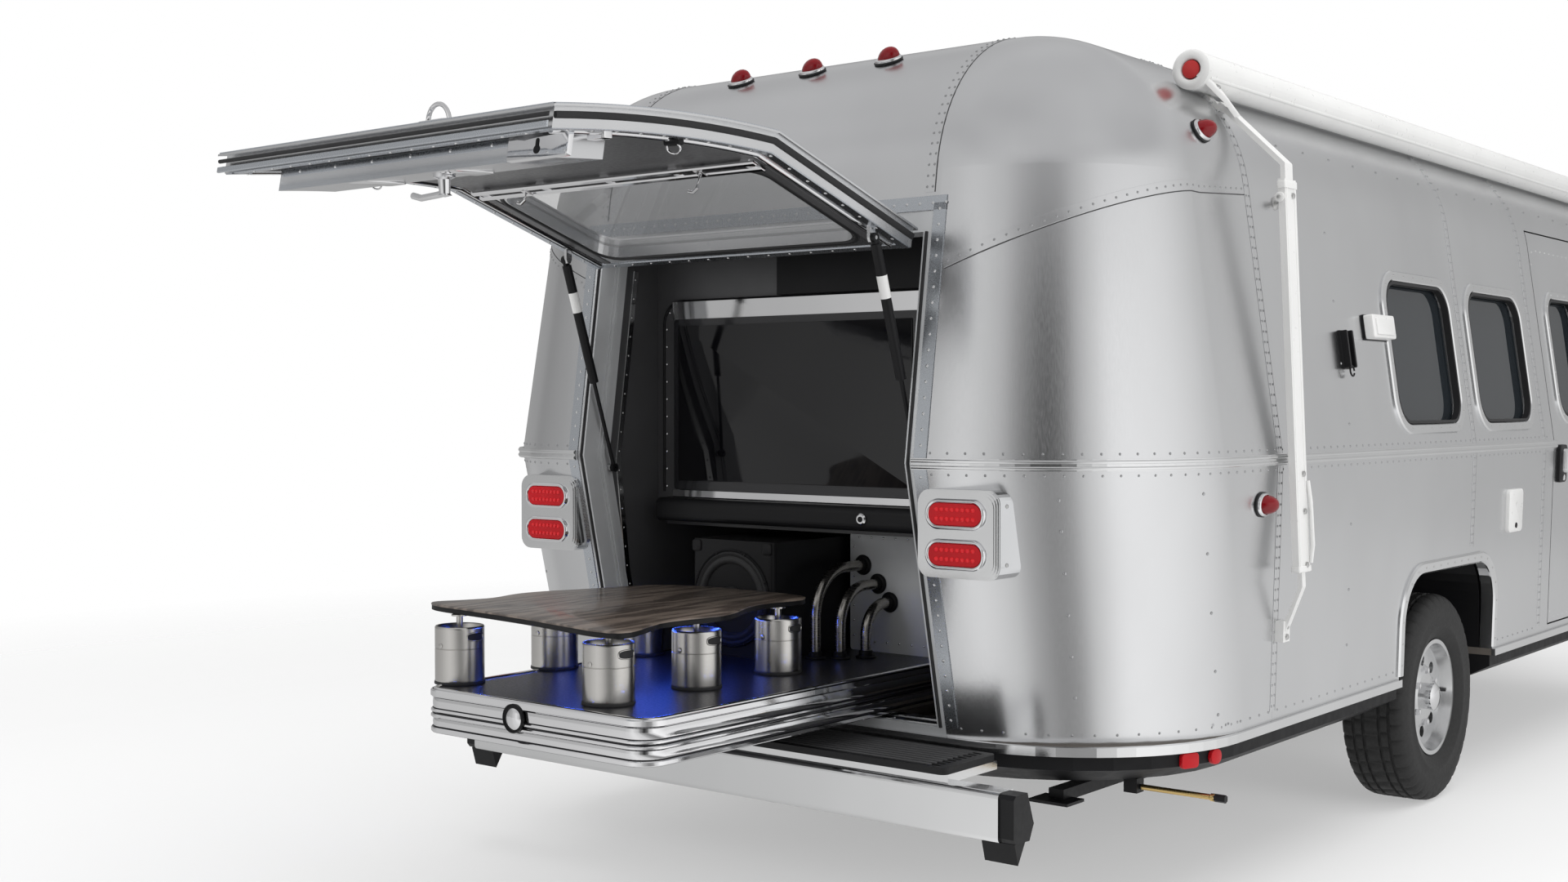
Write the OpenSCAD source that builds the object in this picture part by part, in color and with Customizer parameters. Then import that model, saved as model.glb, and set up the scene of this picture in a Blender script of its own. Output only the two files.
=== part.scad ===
// Bar trailer: a riveted, round-ended travel trailer whose rear hatch opens over a slide-out bar.
// Millimetres. X points to the kerb side, Y forwards to the hitch, Z up. The ground is z = 0, and
// lengths along the body are measured from the rearmost line of the shell, at the belt moulding.

/* [Shell] */
// Length of the shell at the belt moulding
body_len = 5600; // [4800:10:6800]
// Width of the shell at the belt moulding
body_w = 2444; // [2300:2:2550]
// Height of the belt moulding above the ground
belt_z = 1220; // [1150:1:1280]
// Height of the shell's lower edge
base_z = 480; // [440:1:520]
// Height at which the straight upper wall turns into the shoulder
shoulder_z = 2000; // [1950:1:2100]
// Radius of the roof's shoulders
shoulder_r = 480; // [400:1:560]
// Lean of the walls above the belt, in degrees
upper_lean = 8; // [5:0.1:10]
// Tuck of both ends below the belt, in degrees
end_tuck = 12.3; // [8:0.1:14]
// Tuck of the sides below the belt, in degrees
side_tuck = 1.7; // [0.5:0.1:3]
// Thickness of walls and roof, skin to skin
wall = 45; // [35:1:55]
// Distance from each end to the seam between end shell and side wall
end_seam = 940; // [800:5:1200]

/* [Floor and chassis] */
// Thickness of the floor deck
floor_t = 25; // [18:1:30]
// Height of the underside of the belly pan
belly_z = 360; // [330:1:390]
// Inset of the belly pan's underside from the shell
belly_inset = 110; // [60:1:160]
// Distance of each chassis rail's centre from the middle
rail_x = 575; // [500:1:640]
// Width of a chassis rail
rail_w = 56; // [40:1:70]
// Length of the drawbar from the front of the shell to the coupler's socket
drawbar_len = 1050; // [900:5:1300]

/* [Wheels] */
// Outer radius of the tyre
tyre_r = 358; // [330:1:380]
// Width of the tyre
tyre_w = 225; // [190:1:240]
// Distance of the tyre's middle from the trailer's middle
track_x = 1062; // [1030:1:1080]
// Distance of the axle from the rear of the shell
axle_y = 2400; // [2200:5:2900]
// Radius of the rim
rim_r = 200; // [178:1:215]
// Half length of the wheel arch at the shell's lower edge
arch_half = 470; // [440:1:520]
// Height of the wheel arch's top
arch_z = 830; // [800:1:880]

/* [Rear hatch] */
// Half width of the clear opening
mouth_x = 594.6; // [560:0.1:620]
// Width of the opening's frame as seen from behind
frame_w = 27; // [20:1:40]
// Height of the opening's lower edge
mouth_low_z = 505; // [495:1:540]
// Height of the opening's upper edge
mouth_top_z = 1832; // [1800:1:1870]
// Height of the header above the opening
header_h = 57; // [40:1:70]
// Depth of the opening's frame
frame_d = 110; // [80:1:140]
// Thickness of the hatch behind its outer skin
hatch_t = 46; // [35:1:60]
// Overlap of the hatch's skin on the frame
hatch_lap = 6; // [3:0.5:12]
// Angle of the open hatch from shut, in degrees
hatch_open = 100; // [80:1:110]
// Bow of the hatch below the belt
hatch_bow = 16; // [0:1:25]
// Distance of each gas strut inside the clear opening's side
strut_inset = 24.6; // [20:0.1:45]

/* [Bar] */
// Half width of the slide-out deck
deck_x = 408; // [360:1:430]
// How far the deck stands out behind the shell's rear line
deck_out = 787; // [600:1:900]
// Length of the deck
deck_len = 1345; // [1200:5:1400]
// Height of the deck's top
deck_z = 626; // [600:1:650]
// Height of the deck's edge
deck_h = 112; // [90:1:115]
// Travel of the deck from out to in
deck_travel = 1067; // [900:1:1100]
// Height of the table's underside
table_z = 811; // [790:1:830]
// Thickness of the table
table_t = 20; // [16:1:30]
// Height of the shelf's underside below the television
shelf_z = 1012; // [990:1:1040]

/* [Entry door] */
// Width of the door
door_w = 660; // [600:1:720]
// Distance of the door's hinge from the rear of the shell
door_y = 4210; // [4000:5:4300]
// Height of the door's top
door_top_z = 2060; // [2010:1:2100]
// Gap round the door
door_gap = 6; // [5:0.5:10]

/* [Hidden] */
$fn = 48;

// Clearance between pieces that seat on each other
seat = 0.3;
// Larger than any piece, for cutting planes
far = 9000;

// Shell section: d counts inwards from the belt line, and corner_r puts the shoulder's centre
// on the vertical axis about which the corner turns.
half_w = body_w / 2;
line_h = shoulder_z - belt_z;
// Tenths of a millimetre, so that walls and corners meet on the same numbers
function tenths(v) = round(10 * v) / 10;
corner_r = tenths(line_h * tan(upper_lean) + shoulder_r * cos(upper_lean));
arc_z = tenths(shoulder_z - shoulder_r * sin(upper_lean));
roof_z = arc_z + shoulder_r;
flat_x = half_w - corner_r;
drop = belt_z - base_z;
base_half_w = half_w - drop * tan(side_tuck);
base_end_y = drop * tan(end_tuck);
floor_z = base_z - floor_t;

function outer_x(z) = z > belt_z ? half_w - (z - belt_z) * tan(upper_lean)
    : half_w - (belt_z - z) * tan(side_tuck);
function rear_y(z) = z > belt_z ? (z - belt_z) * tan(upper_lean) : (belt_z - z) * tan(end_tuck);
function arc_pts(c, r, a0, a1, n) = [for (i = [0 : n]) let (a = a0 + (a1 - a0) * i / n)
    [c[0] + r * cos(a), c[1] + r * sin(a)]];
// Rounded rectangle from x0, y0 to x1, y1
function round_rect(x0, y0, x1, y1, r, n = 6) = concat(
    arc_pts([x1 - r, y1 - r], r, 0, 90, n), arc_pts([x0 + r, y1 - r], r, 90, 180, n),
    arc_pts([x0 + r, y0 + r], r, 180, 270, n), arc_pts([x1 - r, y0 + r], r, 270, 360, n));

// Extrude an outline drawn in Y and Z along X, from x0 to x1
module along_x(x0, x1) translate([x0, 0, 0]) rotate([90, 0, 90]) linear_extrude(x1 - x0) children();
// Extrude an outline drawn in X and Z along Y, from y0 to y1
module along_y(y0, y1) translate([0, y1, 0]) rotate([90, 0, 0]) linear_extrude(y1 - y0) children();
module both_sides() {
    children();
    mirror([1, 0, 0]) children();
}
module box(p, q) translate(p) cube(q - p);
// The front end is the rear end turned to face forwards
module at_front() translate([0, body_len, 0]) mirror([0, 1, 0]) children();
// The part's own frame: on the ground, at the middle of its length
module place() translate([0, -frame_y, 0]) children();

// Straight upper wall in (r, z), with r counted from the corner's axis
module wall_line(t = wall, skin = 0) {
    bottom = corner_r - skin / cos(upper_lean);
    top = bottom - line_h * tan(upper_lean);
    polygon([[bottom, belt_z], [top, shoulder_z], [top - t / cos(upper_lean), shoulder_z],
        [bottom - t / cos(upper_lean), belt_z]]);
}
// Shoulder arc in (r, z), from the straight wall to the flat roof
module wall_arc() translate([0, arc_z]) intersection() {
    difference() {
        circle(shoulder_r, $fn = 96);
        circle(shoulder_r - wall, $fn = 96);
    }
    translate([0, shoulder_z - arc_z]) square(shoulder_r);
}
// One end's straight upper wall, from the belt to the shoulder, up to the seam
module upper_end() {
    both_sides() {
        translate([flat_x, corner_r, 0]) rotate([0, 0, -90]) rotate_extrude(angle = 90, $fn = 96) wall_line();
        along_y(corner_r, end_seam) translate([flat_x, 0]) wall_line();
    }
    along_x(-flat_x, flat_x) translate([corner_r, 0]) mirror([1, 0]) wall_line();
}
// One corner of a dome: a spherical shell above the straight wall
module dome_corner() intersection() {
    top = shoulder_r + 10;
    difference() {
        rotate([0, 90, 0]) sphere(shoulder_r, $fn = 96);
        rotate([0, 90, 0]) sphere(shoulder_r - wall, $fn = 96);
    }
    box([0, -top, shoulder_z - arc_z], [top, 0, top]);
}
// One end's dome: a rolled shoulder round both corners, closed by the flat of the roof
module dome_end() {
    both_sides() {
        translate([flat_x, corner_r, arc_z]) dome_corner();
        along_y(corner_r, end_seam) translate([flat_x, 0]) wall_arc();
    }
    along_x(-flat_x, flat_x) translate([corner_r, 0]) mirror([1, 0]) wall_arc();
    box([-flat_x, corner_r, roof_z - wall], [flat_x, end_seam, roof_z]);
}
// Flat sheets lap inside the rolled corner by this step
skin_lap = 0.2;
module lower_flat() translate([corner_r - wall + skin_lap, -1, -2000])
    cube([wall - 2 * skin_lap, 2001, 4000]);
// One end's lower shell: a corner rolled about an axis that leans with both tucks, and the
// flat walls that meet it. quarter is the angle between the end wall and the side wall.
module lower_end() both_sides() intersection() {
    quarter = acos(sin(end_tuck) * sin(side_tuck));
    lean_x = atan(tan(end_tuck) * cos(side_tuck));
    translate([half_w - corner_r / cos(side_tuck), corner_r / cos(end_tuck), belt_z])
        rotate([lean_x, side_tuck, 0]) {
            rotate([0, 0, -quarter]) rotate_extrude(angle = quarter, $fn = 96)
                translate([corner_r - wall, -2000]) square([wall, 4000]);
            lower_flat();
            rotate([0, 0, -quarter]) mirror([0, 1, 0]) lower_flat();
        }
    box([0, -500, base_z], [half_w + 100, end_seam, belt_z]);
}
// The rear opening that the hatch's frame fills
module mouth_cut() box([-mouth_x - frame_w, -500, 0], [mouth_x + frame_w, 500, mouth_top_z + header_h]);

silver = [0.78, 0.79, 0.80];
black = [0.06, 0.06, 0.07];

module rear_dome() color(silver) dome_end();
module rear_upper() color(silver) difference() {
    upper_end();
    mouth_cut();
}
module rear_corner_right() color(silver) difference() {
    intersection() {
        lower_end();
        box([0, -500, 0], [far, far, belt_z]);
    }
    mouth_cut();
}

// Front windows: one wide pane between the corners
front_win = [-560, 1300, 560, 1790];
win_r = 90;
module front_window_outline(gap) polygon(round_rect(front_win[0] + gap, front_win[1] + gap,
    front_win[2] - gap, front_win[3] - gap, win_r));
module front_dome() color(silver) at_front() dome_end();
module front_upper() color(silver) difference() {
    at_front() upper_end();
    along_y(body_len - 400, body_len + 400) front_window_outline(0);
}
module front_lower() color(silver) at_front() lower_end();

// Side windows: columns are side (1 kerb, -1 road), rear end, front end
side_windows = [[1, 1900, 2500], [1, 2700, 3300], [-1, 1250, 1850], [-1, 2350, 3150], [-1, 3650, 4250]];
side_win_z = [1310, 1780];
module side_window_outline(w, gap) polygon(round_rect(w[1] + gap, side_win_z[0] + gap,
    w[2] - gap, side_win_z[1] - gap, win_r));
module side_window_cut(w, gap) along_x(w[0] > 0 ? 0 : -far / 2, w[0] > 0 ? far / 2 : 0)
    side_window_outline(w, gap);

module side_section() polygon([
    [base_half_w, base_z], [half_w, belt_z], [outer_x(shoulder_z), shoulder_z],
    [outer_x(shoulder_z) - wall / cos(upper_lean), shoulder_z],
    [half_w - wall / cos(upper_lean), belt_z], [base_half_w - wall, base_z]
]);
// Wheel arch, drawn in Y and Z
module arch_outline(gap = 0) {
    r = 180;
    polygon(concat([[axle_y - arch_half + gap, 0]],
        arc_pts([axle_y - arch_half + r, arch_z - r], r - gap, 180, 90, 8),
        arc_pts([axle_y + arch_half - r, arch_z - r], r - gap, 90, 0, 8),
        [[axle_y + arch_half - gap, 0]]));
}
module side_wall(side) difference() {
    mirror([side > 0 ? 0 : 1, 0, 0]) difference() {
        along_y(end_seam, body_len - end_seam) side_section();
        along_x(0, far) arch_outline();
    }
    for (w = side_windows) if (w[0] == side) side_window_cut(w, 0);
}
door_low_z = base_z + 30;
// Door hinges: heights of the lower knuckles
hinge_at = [700, 1080];
knuckle_r = 10;
knuckle_h = 55;
pin_r = 5;
door_pin = [half_w + 12, door_y + door_gap / 2];
leaf_w = 45;
module wall_hinge(z) {
    translate([door_pin[0], door_pin[1], z]) cylinder(r = knuckle_r, h = knuckle_h);
    translate([door_pin[0], door_pin[1], z]) cylinder(r = pin_r, h = 2 * knuckle_h - 4);
    box([outer_x(z) - 8, door_y + door_gap, z], [door_pin[0], door_y + leaf_w, z + knuckle_h]);
}
module door_hinge(z) difference() {
    union() {
        translate([door_pin[0], door_pin[1], z + knuckle_h + seat]) cylinder(r = knuckle_r, h = knuckle_h);
        box([outer_x(z) - 8, door_y - leaf_w, z + knuckle_h + seat],
            [door_pin[0], door_y, z + 2 * knuckle_h + seat]);
    }
    translate([door_pin[0], door_pin[1], z]) cylinder(r = pin_r + 0.05, h = 2 * knuckle_h - 2);
}
module door_cut() box([0, door_y - door_w - door_gap, door_low_z - door_gap],
    [far, door_y + door_gap, door_top_z + door_gap]);
module side_wall_right() color(silver) {
    difference() {
        side_wall(1);
        door_cut();
    }
    for (z = hinge_at) wall_hinge(z);
}
module side_wall_left() color(silver) side_wall(-1);
module roof() color(silver) difference() {
    along_y(end_seam, body_len - end_seam) {
        both2d() translate([flat_x, 0]) wall_arc();
        translate([-flat_x, roof_z - wall]) square([2 * flat_x, wall]);
    }
    door_cut();
}
module both2d() {
    children();
    mirror([1, 0]) children();
}

// Panes stand in the middle of the wall
pane_t = 8;
module window_panes() color([0.05, 0.07, 0.08, 0.6]) {
    for (w = side_windows) intersection() {
        both_sides() along_y(end_seam, body_len - end_seam) translate([flat_x, 0])
            wall_line(pane_t, wall / 2);
        side_window_cut(w, seat);
    }
    at_front() intersection() {
        along_x(-flat_x, flat_x) translate([corner_r, 0]) mirror([1, 0]) wall_line(pane_t, wall / 2);
        along_y(-400, 400) front_window_outline(seat);
    }
}

// Floor plan at the shell's lower edge
plan_r = corner_r - wall;
module plan(inset, n = 8) polygon(round_rect(-base_half_w + inset, base_end_y + inset,
    base_half_w - inset, body_len - base_end_y - inset, plan_r, n));
well_x = track_x - tyre_w / 2 - 35;
module wheel_cut(top, more = 0) both_sides()
    box([well_x - more, axle_y - arch_half, 0], [far, axle_y + arch_half, top]);
module floor() color([0.45, 0.36, 0.26]) difference() {
    translate([0, 0, floor_z]) linear_extrude(floor_t) plan(2);
    wheel_cut(base_z + 1);
}
rail_top = floor_z;
module belly_pan() color(black) difference() {
    hull() {
        translate([0, 0, floor_z - 40]) linear_extrude(40 - seat) plan(8);
        translate([0, 0, belly_z]) linear_extrude(5) plan(belly_inset);
    }
    wheel_cut(floor_z, 75);
    chassis_rails(seat);
    both_sides() bumper_arm(seat);
    for (y = cross_y) cross_member(y, seat);
}
drawbar_y = body_len - 500;
coupler_y = body_len + drawbar_len;
apex_y = coupler_y - 170;
cross_y = [330, axle_y, 3700, drawbar_y - 120];
cross_t = 50;
module cross_member(y, gap) box([-rail_x, y - cross_t / 2 - gap, belly_z - gap],
    [rail_x, y + cross_t / 2 + gap, rail_top]);
module chassis_rails(gap) both_sides() {
    box([rail_x - rail_w / 2 - gap, base_end_y + 60, belly_z - gap],
        [rail_x + rail_w / 2 + gap, drawbar_y + 200, rail_top]);
    drawbar_beam(gap);
}
drawbar_angle = atan(rail_x / (apex_y - drawbar_y));
module drawbar_beam(gap) translate([rail_x, drawbar_y, belly_z - gap]) rotate([0, 0, drawbar_angle])
    translate([-rail_w / 2 - gap, 0, 0])
        cube([rail_w + 2 * gap, (apex_y - drawbar_y) / cos(drawbar_angle), rail_top - belly_z + gap]);
module chassis() color(black) difference() {
    union() {
        chassis_rails(0);
        for (y = cross_y) cross_member(y, 0);
        both_sides() bumper_arm(0);
    }
    translate([0, jack_y, 0]) cylinder(r = jack_r + seat, h = 2000);
    for (s = [-1, 1]) translate([s * chain_x, chain_y, 0]) cylinder(r = chain_r, h = 2000);
}
// Safety-chain holes in the drawbar
chain_y = apex_y - 230;
chain_x = rail_x * (apex_y - chain_y) / (apex_y - drawbar_y);
chain_r = 8;

// Rear bumper with its step pad
bumper_x = 960;
bumper_y = -120;
bumper_z = [296, 421];
bumper_t = 70;
pad_t = 18;
pad_d = 250;
pad_x = 800;
module bumper_arm(gap) box([rail_x - rail_w / 2 - gap, bumper_y + bumper_t, belly_z - gap],
    [rail_x + rail_w / 2 + gap, base_end_y + 60, rail_top - 20 + gap]);
module rear_bumper() color(silver) difference() {
    union() {
        along_x(-bumper_x, bumper_x) polygon(concat(
            arc_pts([bumper_y + 14, bumper_z[1] - 14], 14, 90, 180, 5),
            arc_pts([bumper_y + 14, bumper_z[0] + 14], 14, 180, 270, 5),
            [[bumper_y + bumper_t, bumper_z[0]], [bumper_y + bumper_t, bumper_z[1]]]));
        along_x(-pad_x, pad_x) polygon([[bumper_y + 20, bumper_z[1]], [bumper_y + pad_d, bumper_z[1]],
            [bumper_y + pad_d, pad_z], [bumper_y + 20, pad_z]]);
    }
    for (s = [-1, 1]) translate([s * rail_x, 0, 0])
        box([-rail_w / 2 - seat, bumper_y + bumper_t, 0], [rail_w / 2 + seat, far, rail_top]);
}
// Black end caps, with a bracket that hangs below each end
cap_w = 42;
module bumper_caps() color(black) both_sides() {
    along_x(bumper_x + seat, bumper_x + cap_w) polygon([[bumper_y + 6, bumper_z[1] - 14],
        [bumper_y + 16, bumper_z[1] - 4], [bumper_y + bumper_t, bumper_z[1] - 4], [bumper_y + bumper_t + 30,
        bumper_z[0] + 40], [bumper_y + bumper_t + 10, bumper_z[0]], [bumper_y + 16, bumper_z[0] + 2],
        [bumper_y + 6, bumper_z[0] + 14]]);
    along_x(bumper_x - 60, bumper_x + cap_w - 6) polygon([[bumper_y + 20, bumper_z[0] - seat],
        [bumper_y + bumper_t, bumper_z[0] - seat], [bumper_y + 36, bumper_z[0] - 55]]);
}
pad_z = 443;
module step_pad() color(black) difference() {
    translate([0, 0, pad_z]) linear_extrude(pad_t)
        polygon(round_rect(-pad_x, bumper_y + 4, pad_x, bumper_y + pad_d, 20));
    for (i = [0 : 8]) box([-pad_x + 30, bumper_y + 24 + i * 24, pad_z + pad_t - 4],
        [pad_x - 30, bumper_y + 36 + i * 24, pad_z + pad_t + 1]);
}

// Frame of the hatch opening
module rear_band(z0, z1, depth, skin = 0) polygon([
    [rear_y(z0) + skin, z0], [skin, belt_z], [rear_y(z1) + skin, z1],
    [rear_y(z1) + skin + depth, z1], [skin + depth, belt_z], [rear_y(z0) + skin + depth, z0]
]);
frame_low_z = base_z;
frame_top_z = mouth_top_z + header_h - seat;
module hatch_frame() color(silver) {
    both_sides() along_x(mouth_x, mouth_x + frame_w - seat) rear_band(frame_low_z, frame_top_z, frame_d);
    along_x(-mouth_x, mouth_x) intersection() {
        rear_band(frame_low_z, frame_top_z, frame_d);
        translate([-500, mouth_top_z]) square([1500, 200]);
    }
    along_x(-mouth_x, mouth_x) intersection() {
        rear_band(frame_low_z, frame_top_z, frame_d);
        translate([-500, 0]) square([1500, mouth_low_z]);
    }
    both_sides() strut_stud();
}

// Rear hatch, drawn shut and turned open about its hinge
hinge_y = rear_y(mouth_top_z + 8) - 14;
hinge_z = mouth_top_z + 8;
hatch_skin_t = 5;
hatch_low_z = mouth_low_z - hatch_lap;
hatch_top_z = mouth_top_z - 12;
hatch_x = mouth_x + hatch_lap;
hatch_in = 10;
module opened() translate([0, hinge_y, hinge_z]) rotate([-hatch_open, 0, 0])
    translate([0, -hinge_y, -hinge_z]) children();
hatch_win_x = mouth_x - 124.6;
hatch_win = [-hatch_win_x, 1300, hatch_win_x, mouth_top_z - 82];
hatch_rim = 70;
hatch_floor_t = 14;
module hatch_window_outline(gap) polygon(round_rect(hatch_win[0] + gap, hatch_win[1] + gap,
    hatch_win[2] - gap, hatch_win[3] - gap, 60));
module hatch_panel() color(silver) {
    hatch_shell();
    both_sides() strut_bracket();
}
// Rear line of the hatch, bowed outwards below the belt; steps divide the bow
function hatch_y(z) = let (t = max(0, (belt_z - z) / (belt_z - hatch_low_z)))
    rear_y(z) - 4 * hatch_bow * t * (1 - t);
bow_steps = 12;
function hatch_line(z0, z1, skin) = [for (i = [0 : bow_steps]) let (z = z0 + (z1 - z0) * i / bow_steps)
    [hatch_y(z) + skin, z]];
function reversed(pts) = [for (i = [len(pts) - 1 : -1 : 0]) pts[i]];
module hatch_part(z0, z1, depth, skin) polygon(concat(hatch_line(z0, z1, skin),
    reversed(hatch_line(z0, z1, skin + depth))));
module hatch_band(z0, z1, depth, skin) polygon(concat(hatch_line(z0, belt_z, skin), [[rear_y(z1) + skin, z1]],
    [[rear_y(z1) + skin + depth, z1]], reversed(hatch_line(z0, belt_z, skin + depth))));
module hatch_shell() opened() difference() {
    union() {
        along_x(-hatch_x, hatch_x) hatch_band(hatch_low_z, hatch_top_z, hatch_skin_t, -hatch_skin_t - 1);
        along_x(-mouth_x + hatch_in, mouth_x - hatch_in)
            hatch_band(mouth_low_z + hatch_in, hatch_top_z, hatch_t, -1);
    }
    along_y(-400, 600) hatch_window_outline(0);
    along_x(-mouth_x + hatch_in + hatch_rim, mouth_x - hatch_in - hatch_rim)
        hatch_band(mouth_low_z + hatch_rim + hatch_in, belt_z + 20, hatch_t, hatch_floor_t);
}
bracket_t = 10;
bracket_half = 11;
module strut_bracket() {
    bracket_x = strut_x - eye_t / 2 - seat;
    along_x(bracket_x - bracket_t, bracket_x) translate(strut_head) polygon([
        [-bracket_half, 0], [-bracket_half / 2, -bracket_half], [bracket_half / 2, -bracket_half],
        [bracket_half, 0], [bracket_half, hinge_z - 2 - strut_head[1]],
        [-bracket_half, hinge_z - 2 - strut_head[1]]
    ]);
    translate([bracket_x - 1, strut_head[0], strut_head[1]]) rotate([0, 90, 0])
        cylinder(r = stud_r, h = eye_t + seat + 1);
}
module hatch_window() color([0.05, 0.06, 0.07, 0.6]) opened() intersection() {
    along_x(-600, 600) rear_band(hatch_win[1], hatch_win[3], 8, 8);
    along_y(-400, 600) hatch_window_outline(seat);
}
latch_z = [605, 770];
latch_x = mouth_x - 114.6;
latch_d = 54;
latch_pocket = [150, 60, 50];
module hatch_latch_box() color(silver) opened() difference() {
    along_x(-latch_x, latch_x) hatch_part(latch_z[0], latch_z[1], latch_d + hatch_t - hatch_floor_t - 1,
        hatch_floor_t + seat);
    along_x(latch_x - latch_pocket[0], latch_x - latch_pocket[1]) hatch_part(latch_z[0] + latch_pocket[2],
        latch_z[1] - latch_pocket[2], 60, hatch_t + latch_d - 25);
}

// Gas struts: strut_foot on the frame, strut_head on the open hatch
strut_foot = [105, 1180];
strut_head = [-100, hinge_z - 35];
strut_x = mouth_x - strut_inset;
strut_tube_r = 14;
strut_rod_r = 6;
strut_tube_len = 383;
strut_vec = strut_head - strut_foot;
strut_len = norm(strut_vec);
strut_angle = atan2(-strut_vec[0], strut_vec[1]);
eye_r = 13;
eye_t = 12;
stud_r = 5;
module on_strut(side) translate([side * strut_x, strut_foot[0], strut_foot[1]])
    rotate([strut_angle, 0, 0]) children();
module strut_tube(side) color(black) on_strut(side) {
    difference() {
        translate([0, 0, strut_len - strut_tube_len])
            cylinder(r = strut_tube_r, h = strut_tube_len - eye_r - 4);
        translate([0, 0, strut_len - strut_tube_len - 1])
            cylinder(r = strut_rod_r + seat, h = strut_tube_len - 40);
    }
    difference() {
        union() {
            translate([-eye_t / 2, 0, strut_len]) rotate([0, 90, 0]) cylinder(r = eye_r, h = eye_t);
            translate([-eye_t / 2, -8, strut_len - eye_r - 6]) cube([eye_t, 16, 12]);
        }
        translate([-eye_t, 0, strut_len]) rotate([0, 90, 0]) cylinder(r = stud_r + seat, h = 2 * eye_t);
    }
}
rod_len = strut_len - strut_tube_len + 150;
module strut_rod(side) color([0.5, 0.5, 0.52]) on_strut(side) difference() {
    union() {
        translate([0, 0, eye_r - 3]) cylinder(r = strut_rod_r, h = rod_len);
        translate([-eye_t / 2, 0, 0]) rotate([0, 90, 0]) cylinder(r = eye_r, h = eye_t);
    }
    translate([-eye_t, 0, 0]) rotate([0, 90, 0]) cylinder(r = stud_r + seat, h = 2 * eye_t);
}
module strut_stud() translate([strut_x + eye_t / 2 + seat, strut_foot[0], strut_foot[1]]) rotate([0, 90, 0])
    cylinder(r = stud_r + 4, h = mouth_x - strut_x - eye_t / 2 - seat);

// Tail lamps
lamp_x = 756;
lamp_z = [988, 1092];
lamp_half = [125, 115];
lens_half = [80, 28];
lamp_mid = (lamp_z[0] + lamp_z[1]) / 2;
// Rounded front edge: columns are depth of a layer's front and its inset
lamp_edge = [[0, 12], [2, 7], [5, 3], [9, 1], [14, 0]];
module lamp_outline(gap) polygon(round_rect(lamp_x - lamp_half[0] + gap, lamp_mid - lamp_half[1] + gap,
    lamp_x + lamp_half[0] - gap, lamp_mid + lamp_half[1] - gap, 34));
module lamp_block() {
    for (e = lamp_edge) along_y(e[0], 200) lamp_outline(e[1]);
}
module tail_lamp_housings() color(silver) both_sides() difference() {
    lamp_block();
    lower_fill();
    for (z = lamp_z) translate([lamp_x, 0, z]) lens_shape(-seat, 12);
}
// Everything inside the outer skin of the lower rear end
module lower_fill() intersection() {
    quarter = acos(sin(end_tuck) * sin(side_tuck));
    lean_x = atan(tan(end_tuck) * cos(side_tuck));
    translate([half_w - corner_r / cos(side_tuck), corner_r / cos(end_tuck), belt_z])
        rotate([lean_x, side_tuck, 0]) {
            rotate([0, 0, -quarter - 30]) rotate_extrude(angle = quarter + 60, $fn = 96)
                translate([0, -2000]) square([corner_r + seat, 4000]);
            rotate([0, 0, -quarter]) mirror([0, 1, 0]) translate([-corner_r, 0, -2000])
                cube([2 * corner_r + seat, 2000, 4000]);
        }
    box([0, -500, base_z], [half_w + 100, end_seam, belt_z + 10]);
}
module lens_shape(gap, depth) along_y(-1, depth) polygon(round_rect(-lens_half[0] + gap, -lens_half[1] + gap,
    lens_half[0] - gap, lens_half[1] - gap, lens_half[1] - gap - 1, 8));
module tail_lenses() color([0.6, 0.03, 0.03]) both_sides() for (z = lamp_z)
    translate([lamp_x, -6, z]) lens_shape(0, 17.5);

// Marker lamps on the rear shell: columns are distance from the middle and angle up the shoulder
roof_lamp_x = [-279, 0, 279];
roof_lamp_angle = 63;
side_lamp_y = 826;
side_lamp_z = 1098;
shoulder_lamp_y = 730;
shoulder_lamp_angle = 24;
module marker_lamps() color([0.6, 0.03, 0.03]) {
    for (x = roof_lamp_x) translate([x, corner_r, arc_z]) rotate([90 - roof_lamp_angle, 0, 0])
        rotate([0, 0, 90]) translate([0, 0, shoulder_r + seat]) lamp_pod();
    both_sides() translate([outer_x(side_lamp_z) + seat, side_lamp_y, side_lamp_z])
        rotate([0, 90 + side_tuck, 0]) rotate([0, 0, 90]) lamp_pod();
    both_sides() translate([flat_x, shoulder_lamp_y, arc_z]) rotate([0, 90 - shoulder_lamp_angle, 0])
        translate([0, 0, shoulder_r + seat]) lamp_pod();
}
module lamp_pod() {
    linear_extrude(8) polygon(round_rect(-24, -55, 24, 55, 20));
    translate([0, 0, 8]) linear_extrude(20, scale = 0.6) polygon(round_rect(-18, -45, 18, 45, 15));
}

// Belt moulding and base rail round the shell
rail_h = 30;
rail_p = 12;
belt_gap = 0.7;
module trim_rails() color(silver) {
    difference() {
        translate([0, 0, belt_z - rail_h / 2]) linear_extrude(rail_h) belt_ring();
        box([-mouth_x - frame_w, -500, 0], [mouth_x + frame_w, 500, far]);
        door_cut();
    }
    difference() {
        translate([0, 0, floor_z + seat]) linear_extrude(floor_t - 2 * seat) difference() {
            plan(-rail_p, 16);
            plan(2 - seat);
        }
        wheel_cut(base_z);
    }
}
module belt_ring() difference() {
    polygon(round_rect(-half_w - rail_p, -rail_p, half_w + rail_p, body_len + rail_p, corner_r + rail_p, 24));
    polygon(round_rect(-half_w - belt_gap, -belt_gap, half_w + belt_gap, body_len + belt_gap,
        corner_r + belt_gap, 24));
}

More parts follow.
